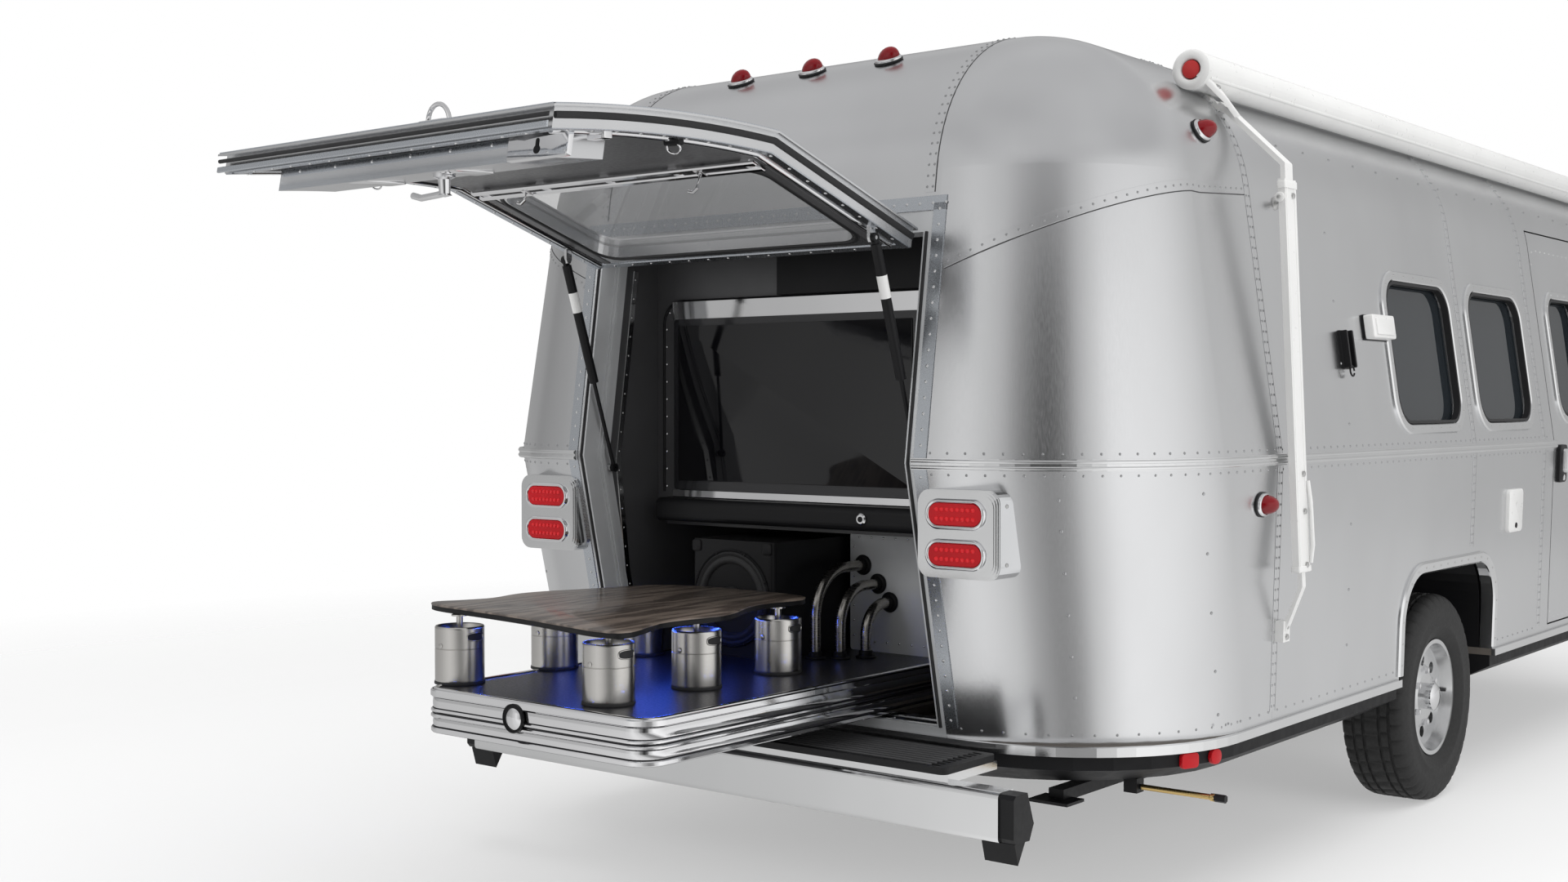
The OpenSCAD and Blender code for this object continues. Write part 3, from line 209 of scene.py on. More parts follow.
RUBBER = coated("step_rubber", (0.02, 0.02, 0.021), 0.6, 120, 0.2)
SEAL = coated("seal_rubber", (0.014, 0.014, 0.015), 0.55, 160, 0.1)
TYRE = coated("tyre_rubber", (0.022, 0.022, 0.022), 0.7, 90, 0.25)
PLYWOOD = coated("plywood", (0.13, 0.115, 0.1), 0.6, 14)
WHITE = coated("awning_white", (0.8, 0.8, 0.79), 0.32, 50, 0.04, vary=0.03)
DARK_PANEL = coated("dark_panel", (0.07, 0.07, 0.073), 0.36, 140, 0.05)
GLOSS_BLACK = coated("gloss_black", (0.012, 0.012, 0.014), 0.16, 200, 0.02, coat=0.4)
SATIN_BLACK = coated("satin_black", (0.009, 0.009, 0.01), 0.4, 150, 0.06, shine=0.22)
# Dark grey: the step's ribs, lighter than the pad as painted highlight, and the sheet inside the hatch
DARK_GREY = coated("dark_grey", (0.085, 0.085, 0.088), 0.34, 90, 0.03)
SCREEN = coated("screen_glass", (0.003, 0.003, 0.004), 0.06, 8, 0.0)
GLASS = tinted_glass("tinted_glass", (0.02, 0.025, 0.03))
CLEAR_GLASS = tinted_glass("clear_glass", (0.2, 0.205, 0.21), 0.02, 0.34)
TAIL_RED = coated("tail_red", (0.5, 0.004, 0.01), 0.2, 30, 0.02, shine=0.3)
STEP_GREY = coated("step_grey", (0.016, 0.016, 0.017), 0.5, 120, 0.2, shine=0.25)
DECK_BLACK = coated("deck_black", (0.018, 0.018, 0.022), 0.36, 150, 0.04)
PIPE = metal("brushed_pipe", (0.44, 0.42, 0.39), 0.26, (3, 3, 90))
SATIN_FRAME = coated("satin_frame", (0.52, 0.53, 0.54), 0.34, 120, 0.03)
RUBY = coated("red_lens", (0.19, 0.001, 0.005), 0.12, 30, 0.02, coat=0.25, shine=0.35)
# Shell rivet heads in a darker metal than the skin: painted shade, so that the heads read as dots
SHADED_RIVET = metal("rivet_aluminium", (0.5, 0.505, 0.51), 0.22)
# Dark strip beside each lap: partly sealant, partly painted shadow of the lap's step
SEALANT_AND_SHADOW = coated("lap_sealant_and_shadow_line", (0.05, 0.05, 0.052), 0.6, 90, 0.2)
DISC = coated("red_disc", (0.52, 0.02, 0.02), 0.35, 60)
DIODE = glowing("lamp_diode", (0.62, 0.01, 0.016), 0.16, 0.15)
LED = glowing("blue_light", (0.05, 0.13, 1.0), 26.0)
WOOD = slab_wood("slab_wood", (0.085, 0.066, 0.055), (0.215, 0.172, 0.142))

FINISH = {
    SHELL: "side_wall_right side_wall_left roof rear_corner_right rear_corner_left rear_upper rear_dome front_lower "
           "front_upper front_dome entry_door hatch_panel hatch_latch_box gas_bottle_cover",
    BRIGHT: "trim_rails rear_bumper tail_lamp_housings jack_tube",
    SATIN_FRAME: "hatch_frame splash_panel",
    BLACK_STEEL: "chassis axle coupler bumper_caps stabiliser_mounts stabiliser_leg_right stabiliser_leg_left "
                 "wheel_wells",
    BELLY: "belly_pan",
    PLYWOOD: "floor",
    GLASS: "window_panes door_glass",
    CLEAR_GLASS: "hatch_window",
    STEP_GREY: "step_pad",
    RUBY: "marker_lamps",
    TAIL_RED: "tail_lenses",
    ZINC: "jack_leg deck_runners",
    WHITE: "awning_roller awning_arms",
    DARK_PANEL: "tv_wall bar_compartment",
    SATIN_BLACK: "shelf subwoofer strut_tube_right strut_tube_left strut_rod_right strut_rod_left",
    GLOSS_BLACK: "television",
    DECK_BLACK: "bar_deck",
    TYRE: "tyre_right tyre_left",
    RIM: "rim_right rim_left",
    STAINLESS: "kegs",
    PIPE: "tap_pipes",
    WOOD: "table_top",
}
for finish, names in FINISH.items():
    for name in names.split():
        NODES[name].data.materials.clear()
        NODES[name].data.materials.append(finish)


# Points on the shell: each gives a place and the way it faces

def skin_y(z):
    """How far the end wall stands in from the belt line."""
    return (z - BELT_Z) * tan(UPPER_LEAN) if z > BELT_Z else (BELT_Z - z) * tan(END_TUCK)


def shoulder_rise(z):
    """The round shoulder's slope at a height."""
    return asin(min(1, (z - ARC_Z) / SHOULDER_R))


def ends(point, facing, side, front):
    """Mirror a place on the rear kerb side to the other side or to the front."""
    x, y, z = point
    nx, ny, nz = facing
    if front:
        y, ny = BODY_LEN - y, -ny
    return at(side * x, y, z), Vector((side * nx, ny, nz)).normalized()


def end_skin(x, z, front=False):
    if z <= SHOULDER_Z:
        lean, y = UPPER_LEAN if z > BELT_Z else -END_TUCK, skin_y(z)
    else:
        lean = shoulder_rise(z)
        y = CORNER_R - SHOULDER_R * cos(lean)
    return ends((x, y, z), (0, -cos(lean), sin(lean)), KERB, front)


def side_skin(side, y, z):
    if z <= SHOULDER_Z:
        lean = UPPER_LEAN if z > BELT_Z else -SIDE_TUCK
        x = HALF_W - abs(z - BELT_Z) * tan(abs(lean))
    else:
        lean = shoulder_rise(z)
        x = FLAT_X + SHOULDER_R * cos(lean)
    return ends((x, y, z), (cos(lean), 0, sin(lean)), side, False)


def corner_skin(side, turn, z, front=False):
    """Rolled corner, turn counted in degrees from the end wall to the side wall."""
    if z < BELT_Z:
        quarter = acos(sin(END_TUCK) * sin(SIDE_TUCK))
        lean = atan(tan(END_TUCK) * cos(SIDE_TUCK))
        a = -quarter * (1 - turn / 90)
        c, s = CORNER_R * cos(a), CORNER_R * sin(a)
        h = ((z - BELT_Z + c * sin(SIDE_TUCK)) / cos(SIDE_TUCK) - s * sin(lean)) / cos(lean)
        roll = Matrix.Rotation(SIDE_TUCK, 3, "Y") @ Matrix.Rotation(lean, 3, "X")
        axis = Vector((HALF_W - CORNER_R / cos(SIDE_TUCK), CORNER_R / cos(END_TUCK), BELT_Z))
        return ends(axis + roll @ Vector((c, s, h)), roll @ Vector((c, s, 0)), side, front)
    c, s = unit(turn)
    rise, r = UPPER_LEAN, CORNER_R - skin_y(z)
    if z > SHOULDER_Z:
        rise = shoulder_rise(z)
        r = SHOULDER_R * cos(rise)
    place = (FLAT_X + r * s, CORNER_R - r * c, z)
    return ends(place, (s * cos(rise), -c * cos(rise), sin(rise)), side, front)


def corner_path(side, z, start, parts, front=False):
    return [corner_skin(side, t, z, front) for t in steps(start, 90, parts)]


def side_path(side, z, y0, y1, parts=1):
    return [side_skin(side, y, z) for y in steps(y0, y1, parts)]


def spaced(path, step):
    """Points at an even step along a path of (place, facing)."""
    out, left = [], step / 2
    for (p, n), (q, m) in zip(path, path[1:]):
        gap = (q - p).length
        while left < gap:
            k = left / gap
            out.append((p.lerp(q, k), n.lerp(m, k).normalized()))
            left += step
        left -= gap
    return out


def shifted(path, across, out=0.0):
    """A path moved sideways on the surface, and outwards."""
    moved = []
    for i, (p, n) in enumerate(path):
        along = (path[min(i + 1, len(path) - 1)][0] - path[max(i - 1, 0)][0]).normalized()
        moved.append((p + along.cross(n) * across + n * out, n))
    return moved


# Outlines, sections and places

def facing_at(point, facing, up=UP):
    """A place whose z axis faces out and whose y axis points up."""
    z, up = Vector(facing).normalized(), Vector(up)
    if abs(z.dot(up)) > 0.99:
        up = Vector((0, 1, 0))
    x = up.cross(z).normalized()
    return Matrix.Translation(point) @ Matrix((x, z.cross(x), z)).transposed().to_4x4()


def beside(place, x=0.0, y=0.0, z=0.0):
    """A place moved along its own axes."""
    return place @ Matrix.Translation((x, y, z))


def arc(cx, cy, r, a0, a1, n=6):
    return [Vector((cx + r * c, cy + r * s)) for c, s in map(unit, steps(a0, a1, n))]


def round_rect(x0, y0, x1, y1, r, n=6):
    return (arc(x1 - r, y1 - r, r, 0, 90, n) + arc(x0 + r, y1 - r, r, 90, 180, n)
            + arc(x0 + r, y0 + r, r, 180, 270, n) + arc(x1 - r, y0 + r, r, 270, 360, n))


def centred(w, h, r, n=6):
    return round_rect(-w / 2, -h / 2, w / 2, h / 2, r, n)


def strip(width, height, edge=0.4):
    """Section of a flat strip with eased edges, from the surface outwards, given in millimetres."""
    w, height = width / 2000, height / 1000
    e = edge * height
    return [(-w, -0.001), (w, -0.001), (w, height - e), (w - e, height), (-w + e, height), (-w, height - e)]


def bead(width, height, n=6):
    """Section of a half-round moulding, given in millimetres."""
    w, height = width / 2000, height / 1000
    top = [(w * c, height * s) for c, s in map(unit, steps(0, 180, n))]
    return [(-w, -0.001), (w, -0.001)] + top[1:-1]


def linked(name, data, mat=None):
    """A new object in the scene."""
    if mat:
        data.materials.append(mat)
    obj = bpy.data.objects.new(name, data)
    bpy.context.scene.collection.objects.link(obj)
    return obj


class Shape:
    """Vertices and faces of one piece, gathered from simple moves."""

    def __init__(self):
        self.verts, self.faces = [], []

    def rings(self, rings, closed=False):
        """Skin a row of equal rings, each a closed loop of points, and cap an open row."""
        base, n = len(self.verts), len(rings[0])
        for ring in rings:
            self.verts += ring
        rows = len(rings) if closed else len(rings) - 1
        for i in range(rows):
            a, b = base + i * n, base + (i + 1) % len(rings) * n
            self.faces += [(a + k, a + (k + 1) % n, b + (k + 1) % n, b + k) for k in range(n)]
        if not closed:
            self.faces.append(tuple(range(base + n - 1, base - 1, -1)))
            last = base + (len(rings) - 1) * n
            self.faces.append(tuple(range(last, last + n)))

    def lathe(self, profile, place, sides=24, closed=False):
        """Turn (radius, height) points about the place's z axis."""
        self.rings([[place @ Vector((r * cos(t), r * sin(t), h)) for t in turns(sides)] for r, h in profile], closed)

    def slab(self, outline, depth, place, edge=0.002):
        """A plate with a rounded edge, its outline in the place's x and y and its face along z."""
        middle = sum(outline, Vector((0, 0))) / len(outline)

        def ring(inset, h):
            return [place @ Vector((*(p - (p - middle).normalized() * inset), h)) for p in outline]
        self.rings([ring(0, 0), ring(0, depth - edge), ring(0.3 * edge, depth - 0.3 * edge), ring(edge, depth)])

    def plate(self, w, h, r, depth, place, edge=2):
        """A slab with a rounded rectangle for its outline, given in millimetres."""
        self.slab(centred(w / 1000, h / 1000, r / 1000), depth / 1000, place, edge / 1000)

    def sweep(self, path, section, closed=False):
        """Carry a section of (across, outwards) points along a path of (place, facing)."""
        rings, n = [], len(path)
        for i, (p, facing) in enumerate(path):
            before, after = (i - 1, (i + 1) % n) if closed else (max(i - 1, 0), min(i + 1, n - 1))
            along = (path[after][0] - path[before][0]).normalized()
            across = along.cross(facing).normalized()
            out = across.cross(along)
            rings.append([p + across * a + out * o for a, o in section])
        self.rings(rings, closed)

    def tube(self, points, radius, sides=10, closed=False):
        """A round bar through points."""
        path = []
        for i, p in enumerate(points):
            along = points[(i + 1) % len(points)] - p if i + 1 < len(points) or closed else p - points[i - 1]
            path.append((p, along.cross(Vector((0.31, 0.17, 0.94))).normalized()))
        self.sweep(path, [(radius * cos(t), radius * sin(t)) for t in turns(sides)], closed)

    def rod(self, place, points, radius, sides=10):
        """A round bar through points of a place."""
        self.tube([place @ Vector(v) for v in points], radius, sides)

    def rivets(self, spots, radius):
        """Domed rivet heads."""
        dome = [(k * radius, h * radius) for k, h in ((1, 0), (0.82, 0.28), (0.45, 0.5), (0.05, 0.56))]
        for p, n in spots:
            self.lathe(dome, facing_at(p, n), 8)

    def rivet_row(self, path, pitch, radius):
        self.rivets(spaced(path, pitch), radius)

    def make(self, name, mat, body, slot, sharp=35):
        mesh = bpy.data.meshes.new(name)
        mesh.from_pydata(self.verts, [], self.faces)
        work = bmesh.new()
        work.from_mesh(mesh)
        bmesh.ops.recalc_face_normals(work, faces=work.faces)
        work.to_mesh(mesh)
        work.free()
        mesh.shade_smooth()
        mesh.set_sharp_from_angle(angle=radians(sharp))
        obj = linked(name, mesh, mat)
        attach(obj, body)
        return obj


def shapes(n):
    return [Shape() for _ in range(n)]


def riveted(bar, heads, path, section, pitch, radius, closed=False):
    """A strip along a path, with a row of rivets on its face."""
    bar.sweep(path, section, closed)
    face = max(out for across, out in section)
    heads.rivet_row([(p + n * face, n) for p, n in (path + path[:1] if closed else path)], pitch, radius)


# Panel laps and rivet rows of the shell

LAP, LAP_T = strip(30, 1.4), 0.0014
RIVET_R, FRAME_RIVET, CORNER_RIVET, FLANGE_RIVET, WALL_RIVET, SCREW_R = 0.004, 0.005, 0.0052, 0.0046, 0.0042, 0.0038
BASE_PITCH, BELT_PITCH, DOME_PITCH = 0.06, 0.05, 0.034
MOUTH_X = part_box("hatch_frame")[1].x - 0.0267
MOUTH_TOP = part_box("hatch_frame")[1].z - 0.0567
MOUTH_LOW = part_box("hatch_frame")[0].z + 0.025
FLANGE_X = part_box("hatch_frame")[1].x + 0.021
FLANGE_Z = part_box("hatch_frame")[1].z + 0.019
RAIL_GAP, DOME_SEAM = 0.018, 0.605
BASE_ROW, NOSE_ROW, ROOF_ROW = BASE_Z + 0.028, SHOULDER_Z - 0.03, 2.147
BELT_ROWS = (BELT_Z - 0.028, BELT_Z + 0.028)
MIDDLE_SEAM = {KERB: 2.6, ROAD: 2.1}
FRAME_ROWS = {KERB: (1.475, 4.5), ROAD: (1.08, 3.3, 4.45)}
FRAME_HEADS = (0.64, 0.81, 1.01, 1.315, 1.5, 1.69, 1.9)
CORNER_HEADS = {36: (1.13, 1.05, 0.94, 0.83, 0.72, 0.61), 78: (1.14, 0.98, 0.82, 0.66, 0.54)}
BASE_RUNS = {KERB: ((CORNER_R, 1.9), (2.9, 3.4), (4.26, 5.01)), ROAD: ((CORNER_R, 1.9), (2.9, 5.01))}
BELT_RUNS = {KERB: ((CORNER_R, 3.5), (4.27, 5.01)), ROAD: ((CORNER_R, 5.01),)}
laps, heads, lap_edges = shapes(3)


def lap(path, step=0.03, rows=(-0.009, 0.009)):
    """A lapped seam with its rivets and a dark line along its edge: sealant, and painted shadow of the lap's step."""
    laps.sweep(path, LAP)
    # The dark strip just past the lap's edge is sealant and painted shadow of the lap's step
    lap_edges.sweep(shifted(path, 0.0162), strip(3.6, 0.9))
    for row in rows:
        heads.rivet_row(shifted(path, row, LAP_T), step, RIVET_R)


def shoulder_heights(last):
    """Heights up the round shoulder, to an angle in degrees."""
    return [ARC_Z + SHOULDER_R * sin(radians(a)) for a in steps(10, last, 16)]


def seam_over(side, y, low):
    """A seam from the base over the shoulder to the middle of the roof."""
    lap([side_skin(side, y, z) for z in steps(low, BELT_Z - RAIL_GAP, 6)])
    lap([side_skin(side, y, z) for z in steps(BELT_Z + RAIL_GAP, SHOULDER_Z, 8) + shoulder_heights(89.5)]
        + [(at(side * x, y, ROOF_Z), UP) for x in steps(FLAT_X - 0.02, 0.002, 8)])


for side in SIDES:
    for y, low in ((END_SEAM, BASE_ROW), (MIDDLE_SEAM[side], 0.87), (3.42, BASE_ROW), (BODY_LEN - END_SEAM, BASE_ROW)):
        seam_over(side, y, low)
    # Sparse rows where the skin is fixed to the frames inside
    for y in FRAME_ROWS[side]:
        heads.rivets([side_skin(side, y, z) for z in FRAME_HEADS], FRAME_RIVET)
    heads.rivets(side_path(side, ROOF_ROW, 1.25, 4.45, 16), FRAME_RIVET)
    # The dome's lower seam climbs from the hatch's frame to the side seam
    climb = [corner_skin(side, t, 1.735 + 0.235 * sin(radians(0.86 * t))) for t in steps(3, 90, 22)]
    climb += [side_skin(side, CORNER_R + 0.05, 1.964), side_skin(side, END_SEAM - 0.02, 1.984)]
    lap(climb, DOME_PITCH, (0.0,))
    lap(corner_path(side, NOSE_ROW, 0, 20, True), DOME_PITCH, (0.0,))
    # Seams of the dome's middle panel
    for front, start in ((False, FLANGE_Z + 0.03), (True, SHOULDER_Z)):
        rise = steps(start, SHOULDER_Z + 0.01, 3) + shoulder_heights(89)
        over = steps(CORNER_R + 0.02, END_SEAM - 0.03, 4)
        lap([end_skin(side * DOME_SEAM, z, front) for z in rise]
            + [ends((DOME_SEAM, y, ROOF_Z), UP, side, front) for y in over])
    for turn, heights in CORNER_HEADS.items():
        heads.rivets([corner_skin(side, turn, z) for z in heights], CORNER_RIVET)
    for front in (False, True):
        heads.rivet_row(corner_path(side, BASE_ROW, 2, 20, front), BASE_PITCH, RIVET_R)
        for z in BELT_ROWS:
            heads.rivet_row(corner_path(side, z, 1, 20, front), BELT_PITCH, RIVET_R)
    for run in BASE_RUNS[side]:
        heads.rivet_row(side_path(side, BASE_ROW, *run), BASE_PITCH, RIVET_R)
    for z in BELT_ROWS:
        for run in BELT_RUNS[side]:
            heads.rivet_row(side_path(side, z, *run), BELT_PITCH, RIVET_R)
for side in (ROAD, KERB):
    heads.rivet_row([end_skin(side * x, NOSE_ROW, True) for x in steps(0, 0.6, 4)], DOME_PITCH, RIVET_R)
laps.make("shell_laps", SHELL, "trailer", "polished_aluminium")
# The shell's rivets take the darker metal: painted shade on the heads
heads.make("shell_rivets", SHADED_RIVET, "trailer", "polished_aluminium", 60)
lap_edges.make("lap_sealant_and_shadow_line", SEALANT_AND_SHADOW, "trailer", "step_rubber")

# Riveted flange round the hatch's opening, with its seal and a stepped channel inside
CHANNEL_IN = 0.062
CHANNEL = mm(-4, -1, 22, -1, 22, 5, 15, 5, 15, 9, 4, 9, 4, 5, -4, 5)
flange, flange_heads, seal, channel = shapes(4)


def mouth_side(x, low, high):
    """A path up one side of the opening, bent at the belt."""
    return [end_skin(x, z) for z in steps(low, BELT_Z - 0.001, 6) + steps(BELT_Z + 0.001, high, 8)]


around = [mouth_side(side * FLANGE_X, BASE_ROW, FLANGE_Z) for side in SIDES]
around.append([end_skin(x, FLANGE_Z) for x in steps(-FLANGE_X - 0.02, FLANGE_X + 0.02, 16)])
for path in around:
    riveted(flange, flange_heads, path, strip(40, 2.2), 0.042, FLANGE_RIVET)
for side in SIDES:
    seal.sweep(mouth_side(side * (MOUTH_X + 0.011), MOUTH_LOW, MOUTH_TOP), bead(10, 6))
    up = [(at(side * MOUTH_X, skin_y(z) + CHANNEL_IN, z), -side * SIDEWAYS)
          for z in steps(MOUTH_LOW, BELT_Z, 4) + steps(BELT_Z + 0.01, MOUTH_TOP, 4)]
    channel.sweep(up[::-side], CHANNEL)
flange.make("mouth_flange", FRAME, "trailer", "bright_trim")
flange_heads.make("mouth_rivets", BRIGHT, "trailer", "bright_trim", 60)
seal.make("mouth_seal", SEAL, "trailer", "step_rubber")
channel.make("mouth_channel", SATIN_FRAME, "trailer", "bright_trim")

# Belt moulding: two ribs on the rail, which stops at the door
RAIL_OUT, RAIL_END = 0.0118, 0.624
RAIL_STOPS = {KERB: (3.542, 4.219), ROAD: (3.9, 3.9)}
rib = Shape()


def belt(path):
    """The two ribs along a path on the skin."""
    level = [(p, Vector((n.x, n.y, 0)).normalized()) for p, n in path]
    for k in (-0.008, 0.008):
        rib.sweep(shifted([(p + n * RAIL_OUT, n) for p, n in level], k), bead(10, 3.4))


for side in SIDES:
    rear_stop, front_stop = RAIL_STOPS[side]
    belt([end_skin(side * RAIL_END, BELT_Z)] + corner_path(side, BELT_Z, 0, 28)
         + side_path(side, BELT_Z, CORNER_R + 0.02, rear_stop, 4))
    belt(side_path(side, BELT_Z, front_stop, BODY_LEN - CORNER_R - 0.02, 2)
         + corner_path(side, BELT_Z, 0, 28, True)[::-1]
         + [end_skin(side * x, BELT_Z, True) for x in steps(FLAT_X - 0.02, 0.0, 4)])
rib.make("belt_ribs", BRIGHT, "trailer", "bright_trim", 50)

# Windows and wheel arches: bright frames, gaskets and screws
FRAME_SECTION, ARCH_SECTION = strip(34, 9, 0.5), strip(40, 10, 0.6)
GASKET = mm(-6, 6, 4, 6, 4, -16, -6, -16)
WINDOWS = ((KERB, 1.9, 2.5), (KERB, 2.7, 3.3), (ROAD, 1.25, 1.85), (ROAD, 2.35, 3.15), (ROAD, 3.65, 4.25))
ARCH_MID, ARCH_HALF, ARCH_TOP, ARCH_R = 2.4, 0.47, 0.83, 0.18


def window(place, x0, z0, x1, z1, r, bright, dark, screws):
    """Frame a window whose corners are given in the wall's own plane."""
    def outline(grow, radius):
        return [place(*p) for p in round_rect(x0 - grow, z0 - grow, x1 + grow, z1 + grow, radius, 8)]
    riveted(bright, screws, outline(0.017, r + 0.017), FRAME_SECTION, 0.09, SCREW_R, True)
    dark.sweep(outline(-0.005, r), GASKET, True)


frames, gaskets, frame_heads = shell_frames = shapes(3)
for side, y0, y1 in WINDOWS:
    window(partial(side_skin, side), y0, 1.31, y1, 1.78, 0.09, *shell_frames)
window(partial(end_skin, front=True), -0.56, 1.3, 0.56, 1.79, 0.09, *shell_frames)
rear, fore, low = ARCH_MID - ARCH_HALF, ARCH_MID + ARCH_HALF, BASE_Z + 0.01
arch_line = ([Vector((rear, low))] + arc(rear + ARCH_R, ARCH_TOP - ARCH_R, ARCH_R, 180, 90, 10)
             + arc(fore - ARCH_R, ARCH_TOP - ARCH_R, ARCH_R, 90, 0, 10) + [Vector((fore, low))])
for side in SIDES:
    riveted(frames, frame_heads, [side_skin(side, *p) for p in arch_line], ARCH_SECTION, 0.07, SCREW_R)
frames.make("window_frames", BRIGHT, "trailer", "bright_trim")
gaskets.make("window_gaskets", SEAL, "trailer", "step_rubber")
frame_heads.make("frame_screws", ZINC, "trailer", "zinc", 60)

# Entry door: frame of its window, rivets along its edge, latch and lock
door_bright, door_dark, door_heads = door_frames = shapes(3)
window(partial(side_skin, KERB), 3.68, 1.33, 4.08, 1.8, 0.08, *door_frames)
edge_path = [side_skin(KERB, *p) for p in round_rect(3.568, 0.53, 4.192, 1.99, 0.05, 5)]
door_heads.rivet_row([(p, n) for p, n in edge_path if abs(p.z - BELT_Z) > 0.03], 0.06, RIVET_R)
door_latch = facing_at(*side_skin(KERB, 3.64, 1.14))
door_dark.plate(100, 150, 20, 12, door_latch, 4)
door_bright.plate(50, 95, 14, 24, beside(door_latch, 0.006, 0.012, 0.008), 6)
door_bright.lathe(mm(12, 10, 12, 17, 8, 19, 1, 19), beside(door_latch, y=-0.055), 20)
door_bright.make("door_trim", BRIGHT, "door", "bright_trim")
door_dark.make("door_fittings", SATIN_BLACK, "door", "step_rubber")
door_heads.make("door_rivets", BRIGHT, "door", "polished_aluminium", 60)

# Grab handle beside the door
GRAB_Y, GRAB_Z, GRAB_HALF, GRAB_OUT = 4.34, 1.27, 0.25, 0.058
grab, bow = Shape(), []
for c, s in map(unit, steps(180, 0, 12)):
    p, n = side_skin(KERB, GRAB_Y, GRAB_Z + GRAB_HALF * c)
    bow.append(p + n * (0.002 + GRAB_OUT * s ** 0.5))
grab.tube(bow, 0.011, 12)
for z in (GRAB_Z - GRAB_HALF, GRAB_Z + GRAB_HALF):
    grab.plate(45, 70, 20, 8, facing_at(*side_skin(KERB, GRAB_Y, z)), 3)
grab.make("grab_handle", CHROME, "trailer", "chrome")

# A black holder with a ring and a white outlet box behind the awning's arm, and white service doors
SERVICE_DOORS = ((KERB, 3.05, 0.98), (ROAD, 4.6, 0.8), (ROAD, 1.5, 0.92))
side_black, side_white = shapes(2)
holder = facing_at(*side_skin(KERB, 1.508, 1.542))
side_black.plate(58, 120, 4, 6, holder)
for x in (-0.022, 0.022):
    side_black.plate(10, 116, 3, 26, beside(holder, x), 3)
side_black.rod(holder, [(0.016 * c, -0.068 + 0.016 * s, 0.018) for c, s in map(unit, steps(0, 330, 16))], 0.0028, 8)
outlet = facing_at(*side_skin(KERB, 1.78, 1.617))
side_white.plate(190, 76, 8, 36, outlet, 6)
side_white.plate(150, 56, 6, 41, outlet, 3)
side_black.plate(196, 82, 10, 7, outlet)
for spot in SERVICE_DOORS:
    hatchway = facing_at(*side_skin(*spot))
    side_white.plate(160, 160, 20, 14, hatchway, 4)
    side_black.lathe(mm(10, 13, 10, 17, 6, 18, 1, 18), beside(hatchway, y=-0.055), 18)
side_black.make("wall_fittings_black", SATIN_BLACK, "trailer", "black_steel")
side_white.make("wall_fittings_white", WHITE, "trailer", "awning_white")

# Tail lamps: bezels, rows of diodes and screws
LAMP_X, LAMP_Z, LENS_W, LENS_H, BEZEL = 0.756, (0.988, 1.092), 0.16, 0.056, 0.012
bezels, diodes, screws = shapes(3)
for side in SIDES:
    for z in LAMP_Z:
        face = facing_at(at(side * LAMP_X, 0, z), REARWARD)
        ring = [(face @ Vector((*p, 0)), REARWARD) for p in centred(LENS_W + BEZEL, LENS_H + BEZEL, 0.033, 8)]
        bezels.sweep(ring, bead(13, 11), True)
        for row in (-0.012, 0.012):
            for col in steps(-0.056, 0.056, 7):
                diodes.lathe(mm(6.2, 0, 5.5, 1.8, 3, 3, 0.4, 3.4), beside(face, col, row, 0.007), 12)
    for z in (0.965, 1.115):
        screws.lathe(mm(6, 0, 5, 2, 1, 2.6), facing_at(at(side * 0.881, 0.045, z), side * SIDEWAYS), 12)
bezels.make("lamp_bezels", CHROME, "trailer", "bright_trim", 60)
diodes.make("lamp_diodes", DIODE, "trailer", "red_lens", 60)

# Marker lamps: fluted bullet lenses on bright bases, in place of the plain pods
OVAL = Matrix.Diagonal((1.0, 1.3, 1.0, 1.0))
LENS = mm(27, 6, 27.2, 12, 26.2, 19, 23.8, 26, 20, 33, 15, 38, 9, 41.5, 3, 43)
LENS_RAKE, FLUTES, FLUTE_DEPTH = 0.22, 22, 0.035
bases, lamp_seals, bullets = shapes(3)


def pod(p, n, up):
    """One lamp on the skin, its long way along up."""
    place = facing_at(p - n * 0.0004, n, up) @ OVAL
    lamp_seals.lathe(mm(34, 0, 35.5, 2, 35.5, 5, 33, 6.5), place, 40)
    bases.lathe(mm(32.5, 4, 33, 10, 31.5, 13.5, 28.5, 14.5, 27.5, 12), place, 40)
    fluted = [(t, 1 - FLUTE_DEPTH * (k % 2)) for k, t in enumerate(turns(2 * FLUTES))]
    bullets.rings([[place @ Vector((r * f * cos(t), r * f * sin(t) + LENS_RAKE * h, h)) for t, f in fluted]
                   for r, h in LENS])


out, rise = SHOULDER_R * Vector(unit(63))
for x in (-0.279, 0, 0.279):
    pod(at(x, CORNER_R - out, ARC_Z + rise), Vector((0, -out, rise)).normalized(), SIDEWAYS)
out, rise = SHOULDER_R * Vector(unit(24))
for side in SIDES:
    pod(at(side * (FLAT_X + out), 0.73, ARC_Z + rise), Vector((side * out, 0, rise)).normalized(), -REARWARD)
    pod(*side_skin(side, 0.826, 1.098), -REARWARD)
bases.make("marker_bases", CHROME, "trailer", "bright_trim", 50)
lamp_seals.make("marker_seals", SEAL, "trailer", "step_rubber", 50)
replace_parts(bullets.make("marker_lenses", RUBY, "trailer", "red_lens", 50), "marker_lamps")

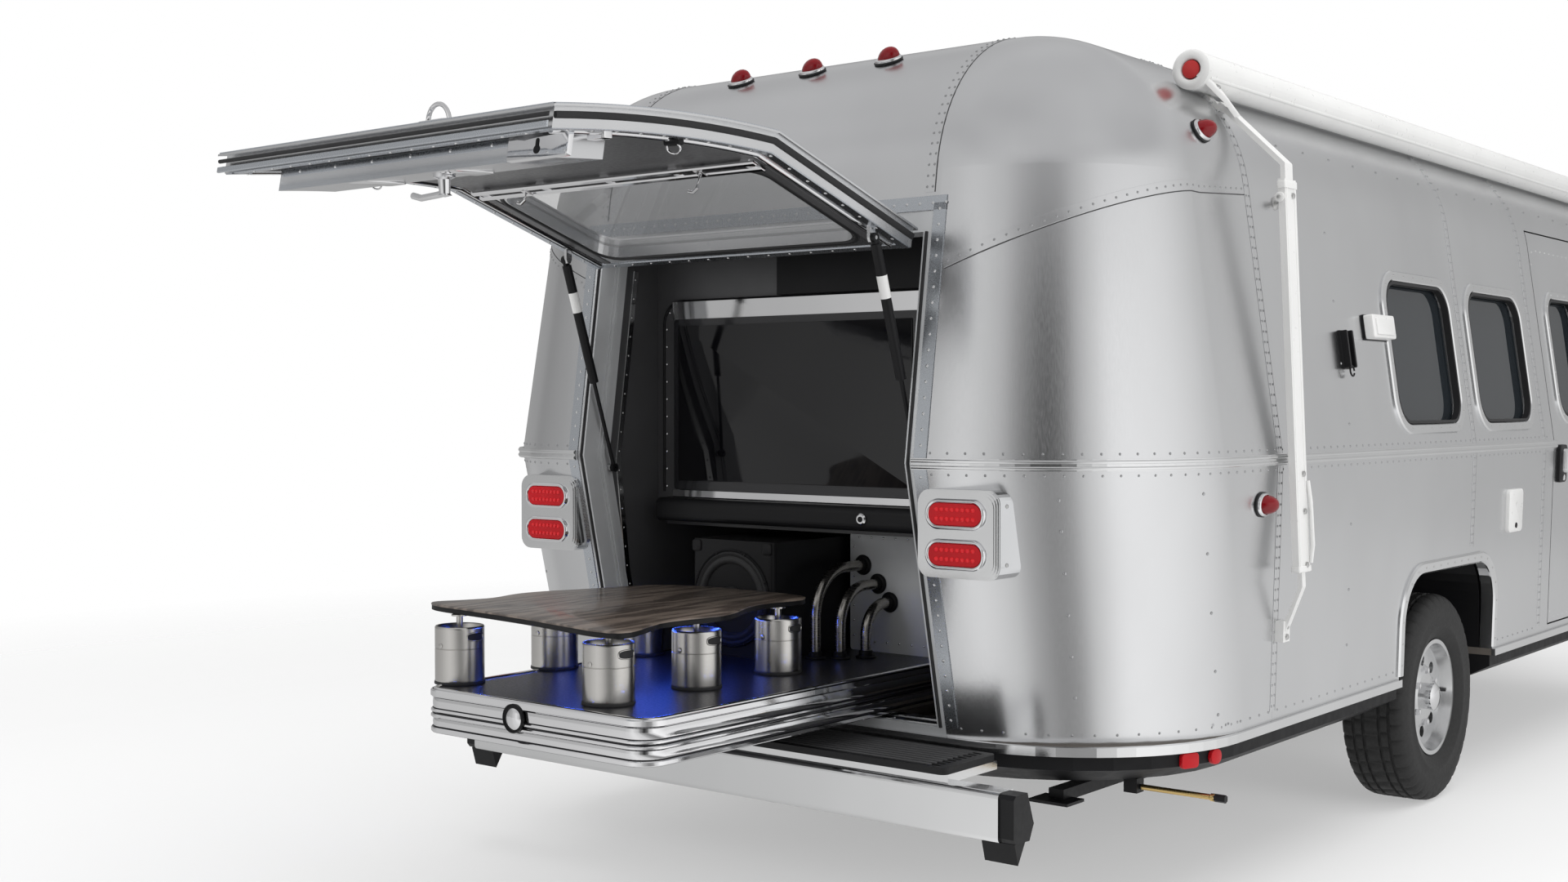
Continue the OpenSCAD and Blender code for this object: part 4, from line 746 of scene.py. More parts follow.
# Reflectors on the belly's wrap, and brass sleeves on the stabilisers' drives
WRAP_R, WRAP_Z = 0.54, 0.43
WRAP = (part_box("belly_pan")[1].x - WRAP_R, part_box("belly_pan")[0].y - REAR + WRAP_R)
REFLECTORS = ((68.5, 60, 12), (79, 46, 20))
SLEEVE = mm(7.8, 0, 7.8, 200, 10.5, 203, 10.5, 213, 7.8, 216, 7.8, 236)
reflect, brass = shapes(2)
for side in SIDES:
    for turn, wide, r in REFLECTORS:
        c, s = unit(turn)
        spot = at(side * (WRAP[0] + WRAP_R * s), WRAP[1] - WRAP_R * c, WRAP_Z)
        reflect.plate(wide, 42, r, 12, facing_at(spot, (side * s, -c, 0)), 4)
    brass.lathe(SLEEVE, facing_at(at(side * 1.01, 0.53, 0.336), side * SIDEWAYS), 16)
reflect.make("reflectors", TAIL_RED, "trailer", "red_lens")
brass.make("drive_sleeves", BRASS, "trailer", "zinc")
screws.make("rear_screws", ZINC, "trailer", "zinc", 60)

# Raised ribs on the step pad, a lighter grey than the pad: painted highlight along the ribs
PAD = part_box("step_pad")
pad_ribs = Shape()
for y in steps(PAD[0].y + 0.032, PAD[1].y - 0.022, 8):
    for x0, x1 in ((PAD[0].x + 0.06, -0.02), (0.02, PAD[1].x - 0.06)):
        pad_ribs.sweep([(Vector((x, y, PAD[1].z - 0.004)), UP) for x in steps(x0, x1, 2)], bead(5.5, 6))
pad_ribs.make("step_ribs", DARK_GREY, "trailer", "step_rubber", 60)

# Hatch: everything here is drawn shut and turned with the hatch to where it rests
HINGE = at(0, skin_y(MOUTH_TOP + 0.008) - 0.014, MOUTH_TOP + 0.008)
OPENED = Matrix.Translation(HINGE) @ Matrix.Rotation(radians(-100), 4, "X") @ Matrix.Translation(-HINGE)
HATCH_LOW, HATCH_TOP, HATCH_BOW, HATCH_T = MOUTH_LOW - 0.006, MOUTH_TOP - 0.012, 0.016, 0.046
INSIDE, OUTSIDE, EDGE_X, FLANGE_LOW = HATCH_T - 0.001, -0.006, MOUTH_X - 0.01, MOUTH_LOW + 0.012
DOWN = (OPENED.to_3x3() @ -UP).normalized()
HEM, LIP, GREY_SHEET_T = strip(26, 3), strip(16, 3), 1.5


def hatch_skin(x, z, depth, inner=True):
    """A place at a depth behind the hatch's outer line, facing in or out."""
    t = max(0.0, (BELT_Z - z) / (BELT_Z - HATCH_LOW))
    lean = UPPER_LEAN if z > BELT_Z else -END_TUCK
    facing = Vector((0, cos(lean), -sin(lean))) * (1 if inner else -1)
    place = at(x, skin_y(z) - 4 * HATCH_BOW * t * (1 - t) + depth, z)
    return OPENED @ place, (OPENED.to_3x3() @ facing).normalized()


def hatch_place(x, z, depth, inner=True):
    return facing_at(*hatch_skin(x, z, depth, inner), SIDEWAYS)


def hatch_rise(x, low, high, depth, inner=True):
    zs = steps(low, BELT_Z - 0.004, 12) + steps(BELT_Z + 0.004, high, 8)
    return [hatch_skin(x, z, depth, inner) for z in zs]


def hatch_row(z, depth, x0, x1, inner=True):
    return [hatch_skin(x, z, depth, inner) for x in steps(x0, x1, 4)]


def low_edge(depth):
    """A path along the hatch's far edge."""
    return [(OPENED @ at(x, skin_y(HATCH_LOW) + depth, HATCH_LOW), DOWN)
            for x in steps(-MOUTH_X + 0.006, MOUTH_X - 0.006, 4)]


hatch_seal, hatch_flange, hatch_heads, hatch_trim, hatch_black, hatch_grey_sheet = shapes(6)
for side in SIDES:
    hem_x = side * (EDGE_X - 0.014)
    hatch_seal.sweep(hatch_rise(side * (EDGE_X + 0.001), FLANGE_LOW, HATCH_TOP, 0.01), bead(12, 14))
    hatch_flange.sweep(hatch_rise(hem_x, FLANGE_LOW, HATCH_TOP - 0.004, INSIDE), HEM)
    hatch_heads.rivet_row(hatch_rise(hem_x, MOUTH_LOW + 0.03, HATCH_TOP - 0.03, INSIDE + 0.003), 0.075, FLANGE_RIVET)
    hatch_trim.sweep(hatch_rise(side * (EDGE_X - 0.048), MOUTH_LOW + 0.05, HATCH_TOP - 0.03, INSIDE), bead(16, 8))
    hatch_flange.sweep(hatch_rise(side * (MOUTH_X - 0.004), HATCH_LOW + 0.006, HATCH_TOP, OUTSIDE, False), LIP)
for z in (MOUTH_LOW + 0.028, HATCH_TOP - 0.018):
    hatch_flange.sweep(hatch_row(z, INSIDE, -EDGE_X + 0.03, EDGE_X - 0.03), HEM)
    hatch_heads.rivet_row(hatch_row(z, INSIDE + 0.003, -EDGE_X + 0.06, EDGE_X - 0.06), 0.075, FLANGE_RIVET)
hatch_flange.sweep(hatch_row(HATCH_LOW + 0.008, OUTSIDE, -MOUTH_X, MOUTH_X, False), LIP)
hatch_flange.sweep(hatch_row(BELT_Z + 0.004, OUTSIDE, -MOUTH_X + 0.006, MOUTH_X - 0.006, False), bead(24, 7))
for z in (0.62, 1.1, 1.26):
    hatch_heads.rivet_row(hatch_row(z, OUTSIDE, -0.55, 0.55, False), 0.05, RIVET_R)
glass_edge = round_rect(-0.482, 1.288, 0.482, HATCH_TOP - 0.058, 0.068, 8)
hatch_seal.sweep([hatch_skin(*p, INSIDE) for p in glass_edge], bead(14, 4), True)
glass_rim = [hatch_skin(*p, OUTSIDE, False) for p in glass_edge]
riveted(hatch_trim, hatch_heads, glass_rim, strip(30, 7, 0.5), 0.1, WALL_RIVET, True)
# A dark grey sheet on the inner skin between the latch box and the glass, and beside the glass
hatch_grey_sheet.sweep(hatch_rise(0, 0.785, 1.278, INSIDE + 0.0005), strip(1030, GREY_SHEET_T, 0.2))
for side in SIDES:
    beside_glass = [hatch_skin(side * 0.5025, z, INSIDE + 0.0005) for z in steps(1.28, HATCH_TOP - 0.035, 4)]
    hatch_grey_sheet.sweep(beside_glass, strip(25, GREY_SHEET_T, 0.2))
# Two bright rails on blocks cross the hatch inside, above its bend, and carry two hooks
RAILS_Z, RAIL_DEPTH = (1.236, 1.268), HATCH_T + 0.01
for z in RAILS_Z:
    hatch_trim.sweep(hatch_row(z, RAIL_DEPTH, -0.5, 0.52), strip(18, 7, 0.5))
for p, n in hatch_row(sum(RAILS_Z) / 2, INSIDE, -0.47, 0.49):
    hatch_trim.plate(30, 46, 4, 12, facing_at(p, n))
for x, reach in ((-0.3, 0.028), (0.33, 0.046)):
    hook = hatch_place(x, sum(RAILS_Z) / 2, RAIL_DEPTH)
    hatch_trim.plate(40, 22, 4, 8, hook)
    hatch_trim.rod(hook, ((0, 0, 0.006), (0, 0, reach), (0, -0.01, reach + 0.01), (0, -0.026, reach + 0.006)), 0.0048)
# The far edge shows the skin, a seal and the inner flange
hatch_seal.sweep(low_edge(0.014), bead(10, 5))
hatch_flange.sweep(low_edge(0.036), strip(14, 4))
# Latch box: plates, a key plate on its edge, a turning handle and catches
LATCH_X, LATCH_LOW, LATCH_Z, LATCH_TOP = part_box("hatch_latch_box")[1].x, 0.605, 0.6875, HATCH_T + 0.053
for x in (-0.2, 0.12):
    hatch_trim.plate(130, 70, 12, 4, hatch_place(x, LATCH_Z, LATCH_TOP), 1.5)
root = [(hatch_skin(x, LATCH_LOW, RAIL_DEPTH)[0], DOWN) for x in steps(-LATCH_X + 0.01, LATCH_X - 0.01, 2)]
riveted(hatch_flange, hatch_heads, root, strip(18, 2), 0.14, FLANGE_RIVET)
p, n = hatch_skin(LATCH_X - 0.02, LATCH_LOW, HATCH_T + 0.027)
key_plate = facing_at(p - DOWN * 0.001, DOWN, n)
hatch_trim.plate(190, 58, 4, 14, key_plate)
hatch_black.plate(11, 30, 5, 14.8, key_plate, 0.3)
hatch_black.lathe(mm(10, 10, 10, 14.6, 1, 15), beside(key_plate, y=0.01))
hub = hatch_place(0.045, LATCH_Z, LATCH_TOP)
hatch_trim.lathe(mm(26, 0, 26, 8, 15, 13, 13, 46, 17, 50, 1, 54), hub)
hatch_trim.rod(hub, ((0, 0.006, 0.044), (0, -0.03, 0.047), (0, -0.085, 0.05), (0, -0.115, 0.042)), 0.008, 12)
for side in SIDES:
    for x, depth in ((0.5, 10), (0.545, 18)):
        hatch_trim.plate(30, 55, 6, depth, hatch_place(side * x, LATCH_Z, INSIDE), 3)
    grip = hatch_place(side * 0.535, 0.93, HATCH_T + 0.002)
    hatch_black.plate(24, 50, 8, 12, grip, 4)
    loop = [grip @ Vector((0.006 * cos(a), 0.02 * sin(a), 0.018 + 0.012 * cos(a))) for a in turns(20)]
    hatch_trim.tube(loop, 0.0024, 8, True)
pull = hatch_place(0.18, 0.545, OUTSIDE, False)
hatch_trim.plate(50, 110, 20, 6, pull, 3)
hatch_trim.rod(pull, [(0, 0.036 * cos(a), 0.003 + 0.04 * sin(a)) for a in steps(0, pi, 14)], 0.0055)
hatch_grey_sheet.make("hatch_grey_sheet", DARK_GREY, "hatch", "dark_panel")
hatch_seal.make("hatch_seal", SEAL, "hatch", "step_rubber", 60)
hatch_flange.make("hatch_flanges", FRAME, "hatch", "bright_trim")
hatch_heads.make("hatch_rivets", BRIGHT, "hatch", "bright_trim", 60)
hatch_trim.make("hatch_fittings", CHROME, "hatch", "bright_trim")
hatch_black.make("hatch_latch", SATIN_BLACK, "hatch", "gloss_black")

# A plain pale sleeve on each gas strut
STRUT_FOOT, STRUT_HEAD, STRUT_X = (0.105, 1.18), (-0.1, 1.805), MOUTH_X - 0.0246
for side, name in ((KERB, "r"), (ROAD, "l")):
    foot, head = at(side * STRUT_X, *STRUT_FOOT), at(side * STRUT_X, *STRUT_HEAD)
    sleeve = Shape()
    sleeve.lathe(mm(13, 100, 14.4, 100.5, 14.4, 161.5, 13, 162), facing_at(head, foot - head), 32, True)
    sleeve.make("strut_sleeve_" + name, WHITE, "strut_tube_" + name, "awning_white")

# Television wall: strips, rivets, gasket, louvred grilles beside the screen, and the shelf's lock
WALL_Y, TV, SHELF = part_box("tv_wall")[0].y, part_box("television"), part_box("shelf")
RECESS_X, RECESS_TOP, RECESS_LOW, RECESS_R, RECESS_END = -0.565, 1.7, 1.1, 0.075, 0.58
wall_heads, wall_bright, wall_black, screen = shapes(4)


def on_wall(x, z):
    return Vector((x, WALL_Y, z)), REARWARD


def wall_bar(shape, x0, x1, z, height, out):
    """A level strip on the television wall."""
    shape.sweep([on_wall(x, z) for x in steps(x0, x1, 2)], strip(height, out, 0.3))


def recess(inset, parts):
    """A path along the top and the road side of the television's recess."""
    bend = arc(RECESS_X + RECESS_R, RECESS_TOP - RECESS_R, RECESS_R - inset, 90, 180, parts)
    return ([on_wall(RECESS_END, RECESS_TOP - inset)] + [on_wall(*p) for p in bend]
            + [on_wall(RECESS_X + inset, RECESS_LOW)])


for z, height in ((1.668, 60), (1.096, 26)):
    wall_bar(wall_bright, TV[0].x - 0.02, TV[1].x + 0.14, z, height, 10)
wall_heads.rivet_row(recess(0.012, 8), 0.055, WALL_RIVET)
wall_heads.rivets([on_wall(x, z) for x in (0.47, 0.57) for z in steps(1.14, 1.62, 6)], WALL_RIVET)
wall_bar(wall_black, -0.1, 0.585, 1.778, 150, 4)
wall_black.sweep(recess(0.003, 10), bead(10, 5))
for z in steps(1.16, 1.58, 14):
    wall_bar(wall_black, 0.458, 0.576, z, 14, 5)
glass = round_rect(TV[0].x + 0.022, TV[0].z + 0.028, TV[1].x - 0.022, TV[1].z - 0.022, 0.004)
screen.slab(glass, 0.0016, facing_at(Vector((0, TV[0].y + 0.0004, 0)), REARWARD), 0.0008)
lock = facing_at(Vector((0.27, SHELF[0].y, (SHELF[0].z + SHELF[1].z) / 2)), REARWARD)
wall_bright.lathe(mm(17, 0, 17, 5, 13, 8, 1, 8), lock, 28)
wall_black.lathe(mm(8, 7, 8, 9.5, 1, 9.8), lock, 20)
wall_heads.make("tv_wall_rivets", BRIGHT, "trailer", "bright_trim", 60)
wall_bright.make("tv_wall_strips", CHROME, "trailer", "bright_trim")
wall_black.make("tv_wall_grilles", SATIN_BLACK, "trailer", "dark_panel")
screen.make("screen_glass", SCREEN, "trailer", "gloss_black")

# Polished sill and edge strips of the compartment
JAMB = ((0.262, 0.55), (0.19, 0.86), (0.15, 1.2), (0.192, 1.5), (0.232, 1.79))
sill = Shape()
for y in (0.19, 0.25):
    sill.sweep([(at(x, y, MOUTH_LOW - 0.001), UP) for x in steps(-MOUTH_X + 0.01, MOUTH_X - 0.01, 2)], strip(40, 4))
for side in SIDES:
    jamb = [(at(side * (MOUTH_X + 0.004), y, z), -side * SIDEWAYS) for y, z in JAMB]
    riveted(sill, sill, jamb, strip(22, 4), 0.06, SCREW_R)
sill.make("compartment_trim", BRIGHT, "trailer", "bright_trim")

# Slide-out bar: ribs round the deck, and a latch whose black cup is painted shadow of its recess
DECK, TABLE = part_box("bar_deck"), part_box("table_top")
DECK_CORNER = 0.07
DECK_STRIPS = ((0.007, 13, 3), (0.044, 10, 3.5), (0.058, 9, 3), (0.103, 19, 4))
DECK_BEADS = ((0.027, 24), (0.078, 30))
bar_chrome, bar_black, bar_light = shapes(3)


def deck_edge(out, z):
    """The deck's outline, open at the back, with the way its edge faces."""
    x, y0, y1 = DECK[1].x, DECK[0].y, DECK[1].y - 0.02
    path = [(Vector((-x, y1, z)), -SIDEWAYS)]
    for cx, a0 in ((-x + DECK_CORNER, 180), (x - DECK_CORNER, 270)):
        for angle in steps(a0, a0 + 90, 10):
            facing = Vector((*unit(angle), 0))
            path.append((Vector((cx, y0 + DECK_CORNER, z)) + facing * DECK_CORNER, facing))
    path.append((Vector((x, y1, z)), SIDEWAYS))
    return [(p + n * out, n) for p, n in path]


for z, height, proud in DECK_STRIPS:
    bar_chrome.sweep(deck_edge(-0.0005, DECK[0].z + z), strip(height, proud, 0.8))
for z, height in DECK_BEADS:
    bar_chrome.sweep(deck_edge(-0.0052, DECK[0].z + z), bead(height, 3))
latch = facing_at(Vector((-0.045, DECK[0].y - 0.001, DECK[0].z + 0.072)), REARWARD)
# The black cup, showing as a crescent beside the off-centre chrome dome, is painted shadow of a recess round the latch
bar_black.lathe(mm(37, 0, 37, 7, 34, 9, 31, 5, 1, 4.5), latch, 36)
bar_chrome.lathe(mm(27, 4, 27, 9, 21, 14, 10, 16.5, 1, 17), beside(latch, 0.006), 36)
bar_chrome.sweep([(p, UP) for p, n in deck_edge(-0.012, DECK[1].z)], bead(16, 5))

# Kegs with hand slots, whose dark ovals are painted shade of the openings, a dark ring at each foot and thin posts, in
# place of the plain ones
KEGS = ((0.15, -0.65), (0.15, -0.32), (0.15, 0.02), (-0.4, -0.66), (-0.4, -0.31), (-0.4, 0.05))
KEG_R, KEG_NECK, KEG_H = 0.066, 0.03, TABLE[0].z - DECK[1].z
KEG_RIM = KEG_H - KEG_NECK
KEG_BODY = (mm(1, 0.8, 60, 0.8, 65, 5, 66, 10, 66, 13)
            + [(KEG_R + r, KEG_RIM + h) for r, h in mm(0, -63, 0, -60, -1.4, -59, -1.4, -58, 0, -57, 0, -54, 0, -6,
                                                       0, -3, -2, 0, -5, 0, -6.5, -3, -8, -22)]
            + [(r, KEG_RIM + h) for r, h in mm(40, -16, 13, -12, 9, -9)]
            + [(r, KEG_H + h) for r, h in mm(9, -5, 22, -4.5, 22, -0.6, 1, -0.6)])
SLOT_HALF_W, SLOT_HALF_H, SLOT_DOWN = 0.026, 0.0105, 0.026
SLOT_RINGS = ((1.0, -0.001), (1.0, 0.0005), (0.6, 0.0005), (0.05, 0.0005))


def keg_slot(place, turn, scale, out):
    """The outline of a hand slot, wrapped on the keg's side."""
    ring, r = [], KEG_R + out
    for t in turns(40):
        a = turn + scale * SLOT_HALF_W * copysign(abs(cos(t)) ** 0.8, cos(t)) / KEG_R
        rise = scale * SLOT_HALF_H * copysign(abs(sin(t)) ** 0.6, sin(t))
        ring.append(place @ Vector((r * cos(a), r * sin(a), KEG_RIM - SLOT_DOWN + rise)))
    return ring


kegs, keg_dark, keg_bright = shapes(3)
for x, y in KEGS:
    place = Matrix.Translation(at(x, y, DECK[1].z))
    kegs.lathe(KEG_BODY, place, 64)
    keg_dark.lathe(mm(62, 0.5, 67.4, 0.5, 68, 3, 67, 8, 65, 8.5), place, 48)
    # Each hand slot is a dark oval on the skin: painted shade standing in for the hole's depth
    for turn in (0.0, pi):
        keg_dark.rings([keg_slot(place, turn, *ring) for ring in SLOT_RINGS])
        keg_bright.tube(keg_slot(place, turn, 1.04, 0.0006), 0.002, 8, True)
    bung = beside(place, 0, -KEG_R, KEG_RIM - 0.05).translation
    keg_bright.lathe(mm(7, -1, 7, 1.6, 5, 2.4, 1, 2.6), facing_at(bung, REARWARD), 20)
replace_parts(kegs.make("keg_bodies", STAINLESS, "slide_out_bar", "stainless", 40), "kegs")
keg_dark.make("keg_foot_rings_and_slot_shade", RUBBER, "slide_out_bar", "step_rubber")
keg_bright.make("keg_bands", STAINLESS, "slide_out_bar", "stainless")

# Live-edge slab on a black plate, drawn in place of the plain one
SLAB_EDGE = mm(-540, -642, -465, -668, -280, -690, -63, -722, 107, -758, 217, -779, 288, -776, 309, -741, 294, -681,
               265, -611, 245, -550, 246, -470, 260, -388, 263, -334, 236, -251, 192, -154, 169, -57, 181, 24,
               188, 79, 165, 125, 100, 148, 0, 158, -144, 162, -271, 156, -375, 112, -430, 20, -470, -120,
               -515, -240, -527, -337, -500, -456, -522, -545, -550, -602)


def smooth_loop(points, parts=5):
    """A closed curve through plan points."""
    curve, n = [], len(points)
    for i in range(n):
        a, b, c, d = (Vector(points[(i + k) % n]) for k in (-1, 0, 1, 2))
        for t in (k / parts for k in range(parts)):
            curve.append(b + (c - a) * t / 2 + (2 * a - 5 * b + 4 * c - d) * t * t / 2
                         + (3 * b - a - 3 * c + d) * t ** 3 / 2)
    return curve


edge = smooth_loop(SLAB_EDGE)
edge_along = [(edge[(i + 1) % len(edge)] - edge[i - 1]).normalized() for i in range(len(edge))]


def slab_ring(inset, z, rough=0.0):
    """The slab's outline at a height, pulled in and roughened as bark leaves it."""
    ring = []
    for i, (p, along) in enumerate(zip(edge, edge_along)):
        pull_in = inset + rough * (sin(1.7 * i) + sin(0.61 * i + 1))
        ring.append(at(p.x - along.y * pull_in, p.y + along.x * pull_in, z))
    return ring


slab, plate = shapes(2)
LOW, TOP = TABLE[0].z, TABLE[1].z
plate.rings([slab_ring(0.006, LOW), slab_ring(0.002, LOW + 0.002), slab_ring(0.002, LOW + 0.0145)])
slab.rings([slab_ring(0.004, LOW + 0.013), slab_ring(0.0004, LOW + 0.0145, 0.0006), slab_ring(0.0, LOW + 0.018, 0.0009),
            slab_ring(0.0008, TOP - 0.002, 0.0004), slab_ring(0.0035, TOP)])
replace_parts(slab.make("table_slab", WOOD, "slide_out_bar", "wood_slab", 50), "table_top")
plate.make("table_plate", SATIN_BLACK, "slide_out_bar", "gloss_black", 50)

# Light strips under the slab
for x in (-0.19, -0.06):
    bar_light.sweep([(at(x, y, LOW), -UP) for y in steps(-0.52, 0.06, 2)], strip(12, 4))
bar_light.make("light_strips", LED, "slide_out_bar", "chrome")

# Subwoofer: surround, cone and dust cap, ring with screws, corner guards
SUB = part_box("subwoofer")
SCREW_RING = 0.1425
front = facing_at(Vector(((SUB[0].x + SUB[1].x) / 2, SUB[0].y, (SUB[0].z + SUB[1].z) / 2)), REARWARD)
cone, surround, cone_ring = shapes(3)
surround.lathe(mm(138, -4, 140, 3, 134, 8, 126, 4, 120, 8, 112, 9, 104, 4, 102, -4), front, 56)
cone.lathe(mm(104, 0, 100, -1, 60, -4, 40, -4, 38, 4, 26, 10, 1, 12), front, 48)
cone_ring.lathe(mm(146, -2, 146, 4, 143, 6, 139, 4, 139, -2), front, 64)
for k in range(8):
    c, s = unit(22.5 + 45 * k)
    cone_ring.lathe(mm(4.5, 3, 4.5, 6.5, 3, 7.5, 0.5, 7.5), beside(front, SCREW_RING * c, SCREW_RING * s), 8)
for x in (-0.137, 0.137):
    for z in (-0.152, 0.152):
        cone.plate(34, 34, 8, 4, beside(front, x, z))
cone.make("speaker_cone", SATIN_BLACK, "slide_out_bar", "gloss_black", 60)
surround.make("speaker_surround", RUBBER, "slide_out_bar", "step_rubber", 60)
cone_ring.make("speaker_ring", SATIN_BLACK, "slide_out_bar", "gloss_black", 60)

# Collars at both ends of each pipe, and rivets round the splash panel
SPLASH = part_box("splash_panel")
PIPES = ((0.07, 0.293, 0.887), (0.126, 0.339, 0.833), (0.169, 0.407, 0.78))
COLLAR = mm(15, 0.5, 30, 0.5, 31, 4, 27, 8, 21, 9, 20.5, 20, 18, 23, 15, 23.5)
for x, y, z in PIPES:
    bar_black.lathe(COLLAR, Matrix.Translation(at(x, y, DECK[1].z)), 32)
    bar_black.lathe(COLLAR, facing_at(Vector((x, SPLASH[0].y, z)), REARWARD), 32)
border = [(Vector((p.x, SPLASH[0].y, p.y)), REARWARD) for p in round_rect(
    SPLASH[0].x + 0.014, SPLASH[0].z + 0.03, SPLASH[1].x - 0.014, SPLASH[1].z - 0.014, 0.01, 4)]
bar_chrome.rivet_row(border + border[:1], 0.045, RIVET_R)
bar_chrome.make("bar_trim", CHROME, "slide_out_bar", "chrome")
bar_black.make("latch_shadow_and_pipe_collars", SATIN_BLACK, "slide_out_bar", "gloss_black")

# Wheels: tyres with grooves and blocks, nuts, caps and valves
WHEEL_X, WHEEL_Y, WHEEL_Z, NUT_RING = 1.062, 2.4, 0.358, 0.09
HALF_TREAD = mm(84.5, 200.5, 98.5, 214, 108.5, 240, 110.8, 244, 111.2, 252, 109.8, 256, 112.2, 290, 112.2, 304,
                110, 318, 103, 341, 93, 351.5, 80, 356.5, 66, 357.5, 64, 350.5, 56, 350.5, 54, 358, 33, 358,
                31, 350.5, 23, 350.5, 21, 358)
TREAD = HALF_TREAD + [(-w, r) for w, r in reversed(HALF_TREAD)]
TURNS, PITCH, GROOVE = 240, 6, 0.0065


def tread_radius(w, r, i):
    """Cut cross grooves between the blocks."""
    shoulder = abs(w) > 0.065 and r > 0.335 and i % PITCH == 0
    centre = abs(w) < 0.055 and r > 0.352 and (i + (3 if w > 0 else 1)) % PITCH == 0
    return r - GROOVE if shoulder or centre else r


def tread_ring(hub, i, a):
    cut = [(tread_radius(w, r, i), w) for w, r in TREAD]
    return [hub @ Vector((r * cos(a), r * sin(a), w)) for r, w in cut]


for side, name in ((KERB, "right"), (ROAD, "left")):
    tyre, nuts, cap = shapes(3)
    hub = facing_at(at(side * WHEEL_X, WHEEL_Y, WHEEL_Z), side * SIDEWAYS)
    tyre.rings([tread_ring(hub, i, a) for i, a in enumerate(turns(TURNS))], True)
    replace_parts(tyre.make("tread_" + name, TYRE, "wheel_" + name, "tyre_rubber", 40), "tyre_" + name)
    for k in range(6):
        c, s = unit(60 * k + 30)
        nuts.lathe(mm(12.5, 46, 12.5, 66, 10, 72, 1, 74), beside(hub, NUT_RING * c, NUT_RING * s), 6)
    nuts.lathe(mm(46, 88, 46.5, 93.5, 40, 99, 20, 103, 1, 104), hub, 32)
    nuts.make("wheel_nuts_" + name, CHROME, "wheel_" + name, "chrome", 50)
    cap.rod(hub, ((0.15, 0, 0.045), (0.158, 0, 0.06), (0.165, 0, 0.075)), 0.004)
    cap.make("valve_" + name, RUBBER, "wheel_" + name, "step_rubber")

# Awning: end discs, seams along the roll, and fittings of the folded arms
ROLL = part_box("awning_roller")
ROLL_R, ROLL_X, ROLL_Z = 0.052, (ROLL[0].x + ROLL[1].x) / 2, (ROLL[0].z + ROLL[1].z) / 2
ARM_Y, ARM_IN, ARM_T, ARM_HALF, ARM_TILT = (0.961, 4.699), 0.03, 0.02, 0.038, radians(2.6)
ARM_OUT = Vector((cos(ARM_TILT), 0, sin(ARM_TILT)))
BOLT = mm(9, 0, 9, 4, 6, 6, 0.5, 6.5)
LEVER = ((1.16, 0.006), (1.1, 0.012), (0.98, 0.014), (0.93, 0.006))
discs, roll_trim, arm_bolts = shapes(3)


def on_arm(y, z, proud=0.0):
    """A point on the outer face of a folded arm."""
    x = HALF_W + ARM_IN + ARM_T - (z - BELT_Z) * tan(ARM_TILT)
    return at(x, y, z) + ARM_OUT * proud


for y, way in ((ROLL[0].y, REARWARD), (ROLL[1].y, -REARWARD)):
    end = facing_at(Vector((ROLL_X, y, ROLL_Z)), way)
    discs.lathe(mm(26, 0, 26, 4, 23, 6, 1, 6.5), end, 32)
    roll_trim.lathe(mm(55, -4, 56.5, 2, 50, 7, 34, 8, 30, 4, 28, 0), end, 48)
for angle in (62, 200, 330):
    c, s = unit(angle)
    seam = [Vector((ROLL_X + ROLL_R * c, y, ROLL_Z + ROLL_R * s)) for y in steps(ROLL[0].y + 0.03, ROLL[1].y - 0.03, 6)]
    roll_trim.sweep([(p, Vector((c, 0, s))) for p in seam], bead(10, 2.5))
for y in ARM_Y:
    for z in (0.925, 1.075, 1.18, 1.96):
        arm_bolts.lathe(BOLT, facing_at(on_arm(y + 0.012, z), ARM_OUT), 6)
    for k in (-0.026, 0.026):
        roll_trim.sweep([(on_arm(y + k, z), ARM_OUT) for z in steps(0.915, 1.995, 4)], bead(12, 3))
    # Release lever along the sleeve's front edge, clamp rings, and a pivot at the sleeve's top
    roll_trim.tube([on_arm(y + 0.03, z, lift) for z, lift in LEVER], 0.006)
    for z, wide in ((1.99, 0.02), (0.915, 0.016)):
        clamp = Matrix.Translation(on_arm(y, z - wide / 2, -ARM_T / 2)) @ Matrix.Rotation(-ARM_TILT, 4, "Y")
        roll_trim.slab(centred(ARM_T + 0.007, 2 * ARM_HALF + 0.007, 0.005), wide, clamp)
    pivot = facing_at(on_arm(y - ARM_HALF, 1.955, -0.016), REARWARD)
    roll_trim.lathe(mm(14, -2, 14, 4, 11, 6, 1, 6), pivot)
    arm_bolts.lathe(mm(6, 5, 6, 9, 4, 10, 0.5, 10), pivot, 6)
    for z in (0.72, 0.75):
        p, n = side_skin(KERB, y, z)
        arm_bolts.lathe(BOLT, facing_at(p + n * 0.0255, n), 6)
# A neck joins each end cap to its arm's bent bar, and a knob on the wall steadies the arm
NECK_FACING = Vector((0.72, 0, 0.69))
NECK = ((0.012, 0.0, -0.012), (0.034, 0.15, -0.04), (0.046, 0.55, -0.072), (0.052, 1.0, -0.112))
for y_cap, y_arm in ((ROLL[0].y + 0.011, ARM_Y[0] - 0.012 + REAR), (ROLL[1].y - 0.011, ARM_Y[1] + 0.012 + REAR)):
    neck = [Vector((ROLL_X + x, y_cap + k * (y_arm - y_cap), ROLL_Z + z)) for x, k, z in NECK]
    roll_trim.sweep([(p, NECK_FACING) for p in neck], strip(44, 15, 0.3))
    arm_bolts.lathe(BOLT, facing_at((neck[1] + neck[2]) / 2 + NECK_FACING * 0.014, NECK_FACING), 6)
knob = facing_at(*side_skin(KERB, 1.126, 1.96))
arm_bolts.lathe(mm(20, 0, 20, 3, 9, 8, 8, 22, 13, 26, 13, 32, 1, 34), knob, 20)
